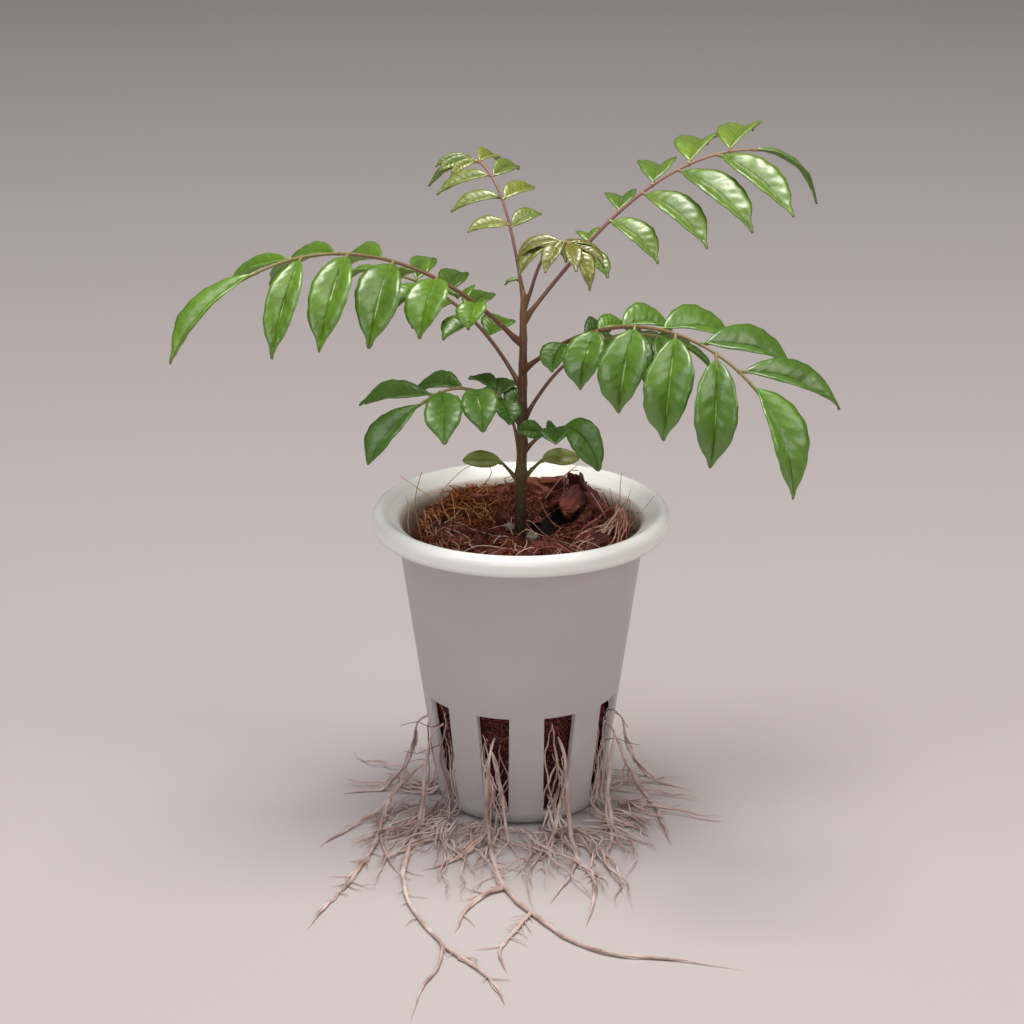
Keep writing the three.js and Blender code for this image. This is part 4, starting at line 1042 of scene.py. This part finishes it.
def leaf_lines(name, leaf):
    chance = np.random.default_rng(sum(map(ord, name)))
    path = rachis_path(leaf)
    lines = []
    last = max(leaf["pairs"] - 1, 1)
    for side, shift in ((-1, 0), (1, leaf["stagger"])):
        for j in range(leaf["pairs"]):
            share, along = j / last, lerp(leaf["span"], (j + shift) / last)
            if along > 1:
                continue
            base, az, _ = on_path(path, along)
            growth = math.sin(min(share * leaf["swell"], 1) * math.pi / 2)
            heading = az + side * (lerp(leaf["spread"], share) + min(side * leaf["swing"], 0))
            rise, droop = (lerp(leaf[key], share) + side * leaf["lean"] for key in ("rise", "droop"))
            roll, shape = -side * lerp(leaf["roll"], share), leaf["shape"]
            if leaf["back"] and direction(heading)[1] > 0:  # the far row turns its face to the window
                kept, turn = leaf["back"]
                rise, droop = (lerp(((rise + droop) / 2, slope), kept) for slope in (rise, droop))
                roll, shape = turn * math.cos(heading * DEG), (*shape[:3], 0)
            length, ratio = lerp(leaf["size"], growth), lerp(leaf["ratio"], share ** 0.45)
            lines += leaflet_lines(base, heading, rise, droop, length, ratio, roll, chance.random(), shape)
    tip, az, el = on_path(path, 1)
    end = dict(rise=el, roll=0) | leaf["end"]
    heading = az + end.pop("turn")
    lines += leaflet_lines(tip, heading, wobble=chance.random(), shape=(*leaf["shape"][:3], 0), **end)
    for along, *single in leaf["more"]:
        lines += leaflet_lines(on_path(path, along)[0], *single, chance.random())
    # The rachis starts inside the stem, so that the joint has no gap, and is thicker there.
    drop = math.hypot(*path[0][:2]) * math.tan(leaf["el"][0] * DEG)
    inside, _ = stem_at(leaf["z"] - min(drop, 4))
    spine = smooth_course([inside] + [on_path(path, share)[0] for share in np.linspace(0, 1, 14)], 0.8)
    share = np.linspace(0, 1, len(spine))
    flare = 1 + 0.8 * np.exp(-(np.linalg.norm(spine - spine[0], axis=1) / 3) ** 2)
    width = RACHIS_SLIM * lerp(leaf["rachis"], share) * flare
    lines.append(stalk_line(spine, width, share, (0, 0, 1), share))
    return lines

# %% [markdown]
# ### The leaf tree
#
# The tree parts the lines in two. Stalks are swept with a circle. Midribs are swept with a
# folded line, which gives a thin sheet. The sheet is quilted: it bulges between its side veins,
# which leave the midrib at a slant, and noise keeps the bulges uneven. The sheet is then
# extruded to a thickness, with more of it under the midrib, so the rib stands out below.

# %% Build the leaf tree
leaf_tree, given = new_tree(
    "leaf", Lines="Geometry", Fold="Float", Arch="Float", Veins="Float", Slant="Float", Quilting="Float",
    Ripple="Float", Thickness="Float", Rib="Float", Across="Int", Upper="Material", Under="Material",
    Stalk="Material",
)
blade, width, along, kin, across = (
    add("InputNamedAttribute", name) for name in ("blade", "width", "along", "kin", "across"))
side, shift = (add("InputNamedAttribute", name, data_type="FLOAT_VECTOR") for name in ("side", "shift"))
kinds = add("SeparateGeometry", given["Lines"], blade)
midribs = add("SetCurveNormal", add("MeshToCurve", kinds), Normal=side, mode="FREE")

# The cross-section: a line from -1 to 1, folded up at the middle, each half arched. Mixing in the
# square of the distance from the midrib sets the points closer there, so the crease is sharp.
line = add("ResampleCurve", add("CurvePrimitiveLine", (-1, 0, 0), (1, 0, 0)), Count=given["Across"])
x = add("SeparateXYZ", add("InputPosition"))
x = add("Mix", 0.6, x, add("Math", x, add("Math", x, operation="ABSOLUTE"), operation="MULTIPLY"))
line = add("StoreNamedAttribute", line, Name="across", Value=x)
reach = add("Math", x, operation="ABSOLUTE")
hump = add("Math", reach, add("Math", 1.0, reach, operation="SUBTRACT"), operation="MULTIPLY")
arch = add("Math", hump, given["Arch"], operation="MULTIPLY")
up = add("Math", reach, add("Math", given["Fold"], operation="SINE"), arch, operation="MULTIPLY_ADD")
out = add("Math", x, add("Math", given["Fold"], operation="COSINE"), operation="MULTIPLY")
section = add("SetPosition", line, Position=add("CombineXYZ", out, up))
sheet = add("FlipFaces", add("CurveToMesh", midribs, section, Scale=width))  # swept sheets face down
reach = add("Math", across, operation="ABSOLUTE")
sheet = add("SetPosition", sheet, Offset=add("VectorMath", shift, reach, operation="SCALE"))

# Quilting: |sin| of a count that rises along the blade and falls towards its margins.
count = add("Math", along, given["Veins"], kin, operation="MULTIPLY_ADD")
count = add("Math", count, add("Math", reach, given["Slant"], operation="MULTIPLY"), operation="SUBTRACT")
wave = add("Math", add("Math", count, math.pi, operation="MULTIPLY"), operation="SINE")
flank = add("Math", reach, add("Math", 1.0, reach, operation="SUBTRACT"), operation="MULTIPLY")
quilt = add("Math", add("Math", wave, operation="ABSOLUTE"), flank, operation="MULTIPLY")
quilt = add("Math", quilt, given["Quilting"], operation="MULTIPLY")
uneven = add("Math", add("TexNoise", Scale=230.0, Detail=2.0), 0.5, operation="SUBTRACT")
height = add("Math", uneven, given["Ripple"], quilt, operation="MULTIPLY_ADD")
normal = add("InputNormal")
quilted = add("SetPosition", sheet, Offset=add("VectorMath", normal, height, operation="SCALE"))

# Thickness, with the rib under it.
rib = add("MapRange", reach, 0.0, 0.2, given["Rib"], 0.0)
sunk = add("VectorMath", normal, add("Math", rib, -1.0, operation="MULTIPLY"), operation="SCALE")
lower = add("SetPosition", quilted, Offset=sunk)
raised = add("ExtrudeMesh", lower, Offset_Scale=add("Math", rib, given["Thickness"]), Individual=False)
under = add("StoreNamedAttribute", add("FlipFaces", lower), Name="underside", Value=1.0, domain="FACE")
blades = add("MergeByDistance", add("JoinGeometry", [raised, under]), Distance=1e-6)
stalks = sweep(add("MeshToCurve", kinds.outputs["Inverted"]), 8, width)
end_tree(add("JoinGeometry", [blades, stalks]), (given["Stalk"], True), (given["Upper"], blade),
         (given["Under"], add("InputNamedAttribute", "underside")))

# %% [markdown]
# ### Leaf skin
#
# A fresh curry leaflet is waxy above, so it mirrors the sky in a soft white sheen, and duller
# below. The midrib is pale, and the side veins are a little paler than the blade. Leaf tissue
# and wax have an index of refraction of about 1.45, and light that enters scatters, which is
# what makes a thin leaf glow. The waxy coat gets a higher index, because its sheen is strong.
# `along` and `across` say where on its leaflet a point is, so the veins are drawn from them.
# One function makes each age of leaf from its own colours.

# %% Leaf materials
VEINS, SLANT = 9.0, 1.6


def leaf_skin(name, dark, bright, vein, tip, roughness, coat, blur=0.3):
    material, shader, where = start_material(
        name, Roughness=roughness, IOR=1.45, Subsurface_Weight=0.35, Subsurface_Scale=0.5 * MM,
        Subsurface_Radius=(0.6, 1.0, 0.25), Coat_Weight=coat, Coat_Roughness=blur, Coat_IOR=1.7,
    )
    numbers = [add("Attribute", attribute_name=key) for key in ("along", "across", "kin")]
    along, across, kin = (node.outputs["Fac"] for node in numbers)
    cloud = add("TexNoise", Vector=where, Scale=190.0, Detail=3.0)
    mottle = add("Math", kin, 0.5, cloud, operation="MULTIPLY_ADD")
    green = add("Mix", add("MapRange", mottle, 0.35, 1.15), dark, bright, data_type="RGBA")
    reach = add("Math", across, operation="ABSOLUTE")
    # Side veins lie where the quilting is lowest.
    count = add("Math", along, VEINS, kin, operation="MULTIPLY_ADD")
    count = add("Math", reach, -SLANT, count, operation="MULTIPLY_ADD")
    side_vein = add("MapRange", add("Math", count, 1.0, operation="PINGPONG"), 0.1, 0.0, 0.0, 0.14)
    # The rib keeps its width while the blade narrows, so its share of the blade grows outwards.
    edge = add("Math", along, 0.05, 0.03, operation="MULTIPLY_ADD")
    veins = add("Math", add("MapRange", reach, edge, 0.012, 0.0, 0.8), side_vein, operation="MAXIMUM")
    skin = add("Mix", veins, green, vein, data_type="RGBA")
    skin = add("Mix", add("MapRange", along, 0.95, 1.0), skin, tip, data_type="RGBA")
    finish_material(shader, skin, add("TexNoise", Vector=where, Scale=1100.0, Detail=2.0), 0.5, 0.22)
    return material


# Each age of leaf: its slot, then for its upper face and its under face the dark, bright, vein
# and tip colours, the roughness, and the strength and blur of the waxy coat.
SKINS = {
    "fresh": ("leaf", ("#4c700e", "#6f9a1a", "#a8c064", "#6c5c2a", 0.42, 0.75),
              ("#688a34", "#809c46", "#adb974", "#736a3c", 0.55, 0.1)),
    "old": ("leaf", ("#3a5c14", "#4f7420", "#86a050", "#6b6240", 0.45, 0.25),
            ("#5a7636", "#6e8848", "#9bab70", "#6f6a3c", 0.6, 0.1)),
    "mature": ("leaf", ("#44690f", "#618c1c", "#9bb45e", "#5c5a2a", 0.42, 0.75),
               ("#5f7c34", "#769046", "#a3b374", "#6f6a3c", 0.6, 0.1)),
    "young": ("young_leaf", ("#527812", "#7f9c24", "#b9c670", "#77602e", 0.36, 1.0, 0.37),
              ("#5f8036", "#769248", "#bccb86", "#80693c", 0.5, 0.2)),
    "tender": ("young_leaf", ("#56741a", "#8c9432", "#bcc272", "#7a5a2e", 0.34, 1.0, 0.35),
               ("#647f38", "#7e8e4a", "#b4bf80", "#80693c", 0.5, 0.2)),
    "bud": ("young_leaf", ("#64681a", "#908e36", "#c6c486", "#7a4a2e", 0.25, 1.0),
            ("#7c8c3c", "#9aa552", "#c6c890", "#7a4a2e", 0.4, 0.4)),
    "seed": ("old_leaf", ("#6c7832", "#8a9442", "#7f8c3c", "#7b6433", 0.45, 0.3),
             ("#5a7036", "#6d8444", "#7d9150", "#5f5a2c", 0.6, 0.1)),
}
for age, (slot, upper, under) in SKINS.items():
    SKINS[age] = (slot, leaf_skin(f"{age}_leaf_upper", *upper), leaf_skin(f"{age}_leaf_under", *under))
print("Leaf materials:", 2 * len(SKINS))

# %% [markdown]
# ### Green wood
#
# The stem and the stalks are young wood. The foot of the stem is a dull green brown, its middle
# has turned red brown, and the stalks of young leaves are pinkish. The colour follows height,
# with small corky flecks on top, at about a third of a millimetre.

# %% Wood materials
def green_wood(name, roughness, heights, *stops):
    """Without heights, the colour follows the stalk itself, from its foot to its end."""
    material, shader, where = start_material(name, Roughness=roughness, IOR=1.45, Specular_IOR_Level=0.45)
    share = add("Attribute", attribute_name="kin").outputs["Fac"]
    if heights:
        share = add("MapRange", add("SeparateXYZ", where).outputs["Z"], heights[0] * MM, heights[1] * MM)
    flecks = add("TexNoise", Vector=where, Scale=1500.0, Detail=3.0)
    fleck = add("MapRange", flecks, 0.56, 0.7, 0.0, 0.45)
    bark = add("Mix", fleck, add("ValToRGB", share, stops=stops), "#8d7660", data_type="RGBA")
    finish_material(shader, bark, flecks, 0.4, 0.1)
    return material


stem_bark = green_wood("stem_bark", 0.5, (57, 111), (0.0, "#262014"), (0.1, "#463820"), (0.26, "#64522f"),
                       (0.45, "#543824"), (0.7, "#64432d"), (0.88, "#88644a"), (1.0, "#8c704e"))
STALKS = {
    "old_leaf": green_wood("first_leaf_stalk", 0.5, (66, 76), (0.0, "#6d6038"), (1.0, "#6f7238")),
    "leaf": green_wood("stalk_bark", 0.45, None, (0.0, "#5e3a2a"), (0.3, "#7a5440"), (0.7, "#88704a"),
                       (1.0, "#8d8450")),
    "young_leaf": green_wood("young_stalk", 0.42, None, (0.0, "#6e5636"), (0.25, "#805650"),
                             (0.6, "#966a62"), (1.0, "#a08468")),
}

# %% Grow the leaves
# Seed leaves are thick and smooth, and the others are thin and quilted.
PLAIN = dict(Quilting=0.0, Ripple=0.2 * MM, Thickness=0.5 * MM)
QUILTED = dict(Quilting=0.7 * MM, Ripple=1.0 * MM, Thickness=0.2 * MM)
for name, leaf in LEAVES.items():
    slot, upper, under = SKINS[leaf["age"]]
    piece = grow(name.replace("frond", "feather").replace("seed_leaf", "first_leaf"),
                 lines_mesh(name, leaf_lines(name, leaf)), leaf_tree, Fold=leaf["fold"] * DEG, Arch=0.3,
                 Veins=VEINS, Slant=SLANT, Rib=0.22 * MM, Across=15, Upper=upper, Under=under,
                 Stalk=STALKS[slot], **(PLAIN if leaf["age"] == "seed" else QUILTED))
    hand_in(piece, slot, name)

# %% Grow the stem
heights = np.append(np.arange(45, 106.6, 0.6), (107.0, 107.4, 107.7, 107.9))
points, widths = [], []
for z in heights:
    centre, radius = stem_at(z)
    swell = 1 + sum(0.12 * math.exp(-((z - leaf["z"]) / 1.1) ** 2) for leaf in LEAVES.values())
    round_tip = min(1, (108 - z) / 1.2) ** 0.5
    points.append(centre)
    widths.append((radius + 0.1 * min(max((104 - z) / 20, -0.5), 1)) * min(swell, 1.25) * round_tip)
line = dict(points=points, width=np.array(widths) * MM, loose=np.clip((heights - 60) / 10, 0, 1))
stem = grow("woody_stem", lines_mesh("woody_stem", [line]), strand_tree, Sides=16, Shake=0.25 * MM,
            Wavelength=9 * MM, Knobbles=0.1, Floor=0.0, Material=stem_bark)
hand_in(stem, "stem", "stem")

# %% [markdown]
# ## The roots
#
# Each root tree leaves the coir through a slot, drops to the surface and runs out over it. The
# courses are the CAD's. A root is rarely one plain rope: thinner ones run along it, leave it and
# come back, so each course gets a core and a few companions. Root skin is pale tan with a pink
# cast, and a little light gets into it.

# %% Root courses
# Each root: its radius at both ends and its points in mm. A height left out is the surface's.
ROOT_TREES = {
    "roots_left": [
        (0.8, 0.45, [(-15.6, -10.3, 20), (-17.8, -11.4, 18.4), (-19.1, -11.8, 12.5), (-19.6, -12.4, 7),
                     (-20.1, -14, 2.4), (-21.8, -23.7), (-23.1, -40.2), (-21.8, -52.2), (-19.3, -61.2),
                     (-15.1, -71.9), (-15.7, -80.7), (-18.4, -89.5), (-20.2, -101.7)]),
        (0.6, 0.4, [(-15.1, -71.9), (-11.2, -77.3), (-5.6, -86.5), (-3.1, -96)]),
        (0.6, 0.5, [(-19.1, -11.8, 12.5), (-22.7, -10.6, 8.5), (-26.4, -9.4, 3.8), (-28.2, -14),
                    (-28.1, -21.5), (-25.3, -36), (-23.1, -40.2)]),
        (0.6, 0.4, [(-28.2, -14), (-28.9, -23.5), (-32, -37.9), (-34.6, -45.8), (-38.1, -55.4),
                    (-40.6, -63.8)]),
        (0.5, 0.4, [(-26.4, -9.4, 3.8), (-30, -10.8), (-34.4, -17.8), (-40, -26)]),
    ],
    "roots_front_left": [
        (0.85, 0.4, [(-5.3, -17.9, 20), (-6, -20.4, 18.6), (-6.7, -21.7, 12), (-6.9, -21.6, 6),
                     (-6.5, -23, 2),
                     (-5.6, -32.7), (-3.5, -45.8), (1.9, -57.6), (9.4, -69.5), (16.9, -75.5), (28.8, -77.8),
                     (41.5, -81.9)]),
        (0.55, 0.4, [(-3.5, -45.8), (-8.2, -50.8), (-11.2, -58.3), (-12.6, -65.3)]),
        (0.55, 0.4, [(1.9, -57.6), (-1.4, -66), (-4.1, -74.3), (-2.7, -82.8)]),
        (0.55, 0.4, [(-6, -20.4, 18.6), (-4.4, -21.9, 12), (-3.5, -22, 5.5), (-2, -26), (-0.6, -32.5)]),
        (0.5, 0.4, [(-6.5, -23, 2), (-13.5, -33.5), (-19.5, -37.6)]),
    ],
    "roots_front_right": [
        (0.8, 0.45, [(7.4, -17.2, 20), (8.3, -19.6, 18.6), (9.1, -20.8, 13), (9.5, -21, 7), (10, -22.4, 2),
                     (11.1, -32.7), (9.6, -40.8), (5.6, -52.7)]),
        (0.6, 0.4, [(9.1, -20.8, 13), (7.8, -21.4, 7), (6.8, -22.6, 2), (3.6, -32), (1.8, -37.8),
                    (2.1, -46.3)]),
        (0.55, 0.4, [(11.1, -32.7), (14, -41.3), (14.2, -50.8), (12.4, -62.5)]),
    ],
    "roots_right": [
        (0.75, 0.45, [(16.7, -8.4, 20), (18.6, -10, 18.4), (18.2, -12.2, 12), (17.6, -13.6, 6),
                      (18.1, -16, 2),
                      (18.2, -22.7), (17, -31.8), (18.4, -44.3)]),
        (0.55, 0.4, [(18.6, -10, 18.4), (21, -7.8, 11), (24, -5.6, 5), (27.2, -6.8), (28.8, -16),
                     (29.9, -25.6)]),
        (0.5, 0.4, [(18.1, -16, 2), (22.6, -17), (25.7, -21.3)]),
    ],
    "roots_far_right": [
        (0.42, 0.3, [(18.1, 4.3, 17), (20.5, 4.9, 15.6), (22, 5.3, 9), (25, 6, 3), (29.5, 5), (35, 2)]),
    ],
    "roots_far_left": [
        (0.42, 0.3, [(-18.5, 2.1, 17), (-20.9, 2.4, 15.6), (-22.2, 2.6, 9), (-25.5, 2.6, 3),
                     (-30, 1.5), (-37, 0)]),
    ],
    "roots_back": [
        (0.42, 0.3, [(-1.1, 18.6, 17), (-1.2, 21, 15.4), (-1.6, 22.6, 8), (-3, 27, 2.4), (-5, 33),
                     (-4, 40)]),
    ],
}

ROOT_CORE = 0.6  # the core's share of the CAD root's radius; companion strands fill the rest
ROOT_FLOOR = 0.1
FORWARD = -90  # the heading towards the viewer


def root_line(first, last, route, phase, spacing=1.2, loose=1.0):
    course = smooth_course(route, spacing)
    share = np.linspace(0, 1, len(course))
    width = lerp((first, last), share ** 1.3) * np.clip((1 - share) / 0.14, 0.12, 1) ** 0.8
    if course[0][2] > 10:  # it begins behind a slot, and is thin there
        width *= 0.35 + 0.65 * np.clip(share / 0.35, 0, 1)
    course[:, 2] = np.maximum(course[:, 2], width + ROOT_FLOOR)
    loose = loose * np.clip(share / 0.06, 0, 1)
    return dict(points=course, width=width * MM, loose=loose, phase=phase, share=share)


def braid(chance, first, last, route):
    """A root with a core and thinner strands that leave its course and come back."""
    lines = [root_line(first * ROOT_CORE, last * ROOT_CORE * 0.6, route, chance.uniform(0, 9), loose=0.7)]
    whole = smooth_course(route, 1.2)
    for _ in range(3):
        a, b = (int(share * len(whole)) for share in chance.uniform((0, 0.45), (0.25, 0.98)))
        if b - a > 5:
            width, phase, loose = chance.uniform((0.15, 0, 1.2), (0.3, 9, 2.6))
            lines.append(root_line(width, 0.1, whole[a:b:3], phase, loose=loose))
    return lines


print("Root trees:", len(ROOT_TREES))

# %% Root material
root_skin, shader, where = start_material(
    "root_skin", Roughness=0.5, IOR=1.42, Subsurface_Weight=0.12, Subsurface_Scale=0.6 * MM,
)
blotches = add("TexNoise", Vector=where, Scale=160.0, Detail=4.0, Roughness=0.6)
shade = add("ValToRGB", blotches, stops=(
    (0.3, "#94786e"), (0.45, "#bca299"), (0.58, "#d3bdb5"), (0.72, "#e6d4cd"),
))
finish_material(shader, shade, add("TexNoise", Vector=where, Scale=1400.0, Detail=2.0), 0.5, 0.12)

# %% Grow the roots
chance = np.random.default_rng(12)
courses = []
for name, routes in ROOT_TREES.items():
    lines = [line for route in routes for line in braid(chance, *route)]
    courses += lines
    piece = grow(name.replace("roots", "root_tree"), lines_mesh(name, lines), strand_tree, Sides=8,
                 Shake=1.6 * MM, Wavelength=6 * MM, Knobbles=0.5, Floor=ROOT_FLOOR * MM, Material=root_skin)
    hand_in(piece, "root", name)

# %% [markdown]
# ### Fine roots
#
# Finer roots fill the slots and make a dense mat near the pot's foot. Each is a short walk: it
# steps on, turns a little at every step, and is drawn to the front, where the CAD's roots run.
# The walks are done here rather than in a tree, because each step depends on the one before.

# %% Fine roots
def forward(heading, pull):
    """A heading, turned towards the front by a share of the way."""
    return heading + pull * ((FORWARD - heading + 180) % 360 - 180)


fine = []
HALF_SLOT = 8.5  # degrees that a root may wander to either side in its slot
for slot in range(POT["ribs"]):
    middle = POT["rib_turn"] + (slot + 0.5) * 360 / POT["ribs"]
    front = -math.sin(middle * DEG)
    for _ in range(18 if front > -0.3 else 9):
        turn, z = middle + chance.uniform(-HALF_SLOT, HALF_SLOT), 4 + 19 * chance.random() ** 1.5
        out, drift = chance.uniform((-1.9, -3.5), (-0.9, 3.5))
        points = []
        while z > 2.0:
            points.append((*(direction(turn)[:2] * (wall_radius(z) + out)), z))
            turn += drift + chance.uniform(-2, 2)
            if abs(turn - middle) > HALF_SLOT and out < 0.4:
                turn, drift = middle + math.copysign(HALF_SLOT, turn - middle), -drift
            z -= chance.uniform(1.4, 3.6)
            out += chance.uniform(-0.1, 0.75)
        if chance.random() < 0.6:
            spot = direction(turn)[:2] * (wall_radius(0) + chance.uniform(0.8, 4))
            heading = turn + chance.uniform(-25, 25)
            points.append((*spot, 0.4))
            for _ in range(chance.integers(1, 7)):
                heading += chance.uniform(-30, 30)
                heading = forward(heading, 0.2 if front > 0 else 0)
                spot = spot + direction(heading)[:2] * chance.uniform(2, 4.5)
                points.append((*spot, chance.uniform(0.2, 1.4)))
        if len(points) > 2:
            fine.append(root_line(chance.uniform(0.12, 0.3), 0.1, points, chance.uniform(0, 9), spacing=1.0))
for _ in range(60):  # the tangle in front of the foot
    heading, out = chance.uniform((-172, 17), (-8, 25))
    spot = direction(heading)[:2] * out
    heading += chance.uniform(-40, 40)
    points = []
    for _ in range(chance.integers(3, 9)):
        points.append((*spot, max(0.2, chance.uniform(-0.6, 1.8))))
        heading = forward(heading + chance.uniform(-34, 34), 0.15)
        spot = spot + direction(heading)[:2] * chance.uniform(1.8, 4)
    fine.append(root_line(chance.uniform(0.1, 0.26), 0.08, points, chance.uniform(0, 9), spacing=1.0))
for _ in range(46):  # longer ones that wander out over the surface and cross
    heading, out = chance.uniform((-160, 17), (-20, 24))
    spot = direction(heading)[:2] * out
    heading += chance.uniform(-70, 70)
    points = [(*spot, 0.3)]
    for _ in range(chance.integers(4, 9)):
        heading = forward(heading + chance.uniform(-30, 30), 0.22)
        spot = spot + direction(heading)[:2] * chance.uniform(3, 6.5)
        if spot[1] < -58 or not -36 < spot[0] < 28:
            break
        points.append((*spot, chance.uniform(0.2, 1.6)))
    if len(points) > 3:
        line = root_line(chance.uniform(0.16, 0.34), 0.08, points, chance.uniform(0, 9), spacing=1.0)
        line["width"] = line["width"] * np.clip(line["share"] / 0.25, 0.25, 1)
        fine.append(line)
print("Fine roots:", len(fine))
root_mat = grow("root_mat", lines_mesh("root_mat", fine), strand_tree, Sides=5, Shake=1.8 * MM,
                Wavelength=4 * MM, Knobbles=0.4, Floor=ROOT_FLOOR * MM, Material=root_skin)
hand_in(root_mat, "root")

# %% [markdown]
# ### Side shoots
#
# Young roots carry short side shoots. The tree walks along every root course with its strands,
# and along every third fine root, and at some of its even steps below a set height it sets a thin
# tapering shoot, which turns to one side or the other by a random angle, is bent by noise, and
# stays on or above the surface. The farther out, the fewer shoots there are.

# %% The shoot tree
shoot_tree, given = new_tree(
    "side_shoots", Lines="Geometry", Spacing="Float", Length="Float", Thickness="Float", Shake="Float",
    Ceiling="Float", Seed="Int", Material="Material",
)
feet = add("CurveToPoints", add("MeshToCurve", given["Lines"]), Length=given["Spacing"], mode="LENGTH")
limit = add("Math", add("InputNamedAttribute", "share"), -1.3, 1.0, operation="MULTIPLY_ADD")
kept = add("Compare", add("RandomValue", 0.0, 1.0, Seed=33), limit, operation="LESS_THAN")
here = add("SeparateXYZ", add("InputPosition"))
low = add("Compare", here.outputs["Z"], given["Ceiling"], operation="LESS_THAN")
shoot = add("ResampleCurve", add("CurvePrimitiveLine", (0, 0, 0), (1, 0, 0)), Count=7)
shoot = add("StoreNamedAttribute", shoot, Name="part", Value=add("SplineParameter"))
ahead = add("AlignRotationToVector", Vector=feet.outputs["Tangent"], axis="X")
side = add("Math", add("RandomValue", -1.0, 1.0, Seed=21), operation="SIGN")
turn = add("Math", add("RandomValue", 0.2, 1.3, Seed=given["Seed"]), side, operation="MULTIPLY")
turned = add("RotateRotation", ahead, add("AxisAngleToRotation", (0, 0, 1), turn), rotation_space="GLOBAL")
size = add("Math", add("RandomValue", 0.25, 1.0, Seed=5), given["Length"], operation="MULTIPLY")
chosen = add("BooleanMath", low, kept, operation="AND")
shoots = add("InstanceOnPoints", feet, chosen, shoot, Rotation=turned, Scale=size)
part = add("InputNamedAttribute", "part")
push = wander(add("Math", part, given["Shake"], operation="MULTIPLY"), Scale=230.0)
shoots = add("SetPosition", add("RealizeInstances", shoots), Offset=push)
ground = add("VectorMath", add("InputPosition"), (-10, -10, 0.3 * MM), operation="MAXIMUM")
shoots = add("SetPosition", shoots, Position=ground)
taper = add("MapRange", part, 0.0, 1.0, given["Thickness"], 0.04 * MM)
end_tree(sweep(shoots, 5, taper), (given["Material"], True))
root_shoots = grow("root_shoots", lines_mesh("root_shoots", courses + fine[::3]), shoot_tree,
                   Spacing=3.6 * MM, Length=6.0 * MM, Thickness=0.17 * MM, Shake=4 * MM, Ceiling=12 * MM,
                   Seed=9, Material=root_skin)
hand_in(root_shoots, "root")
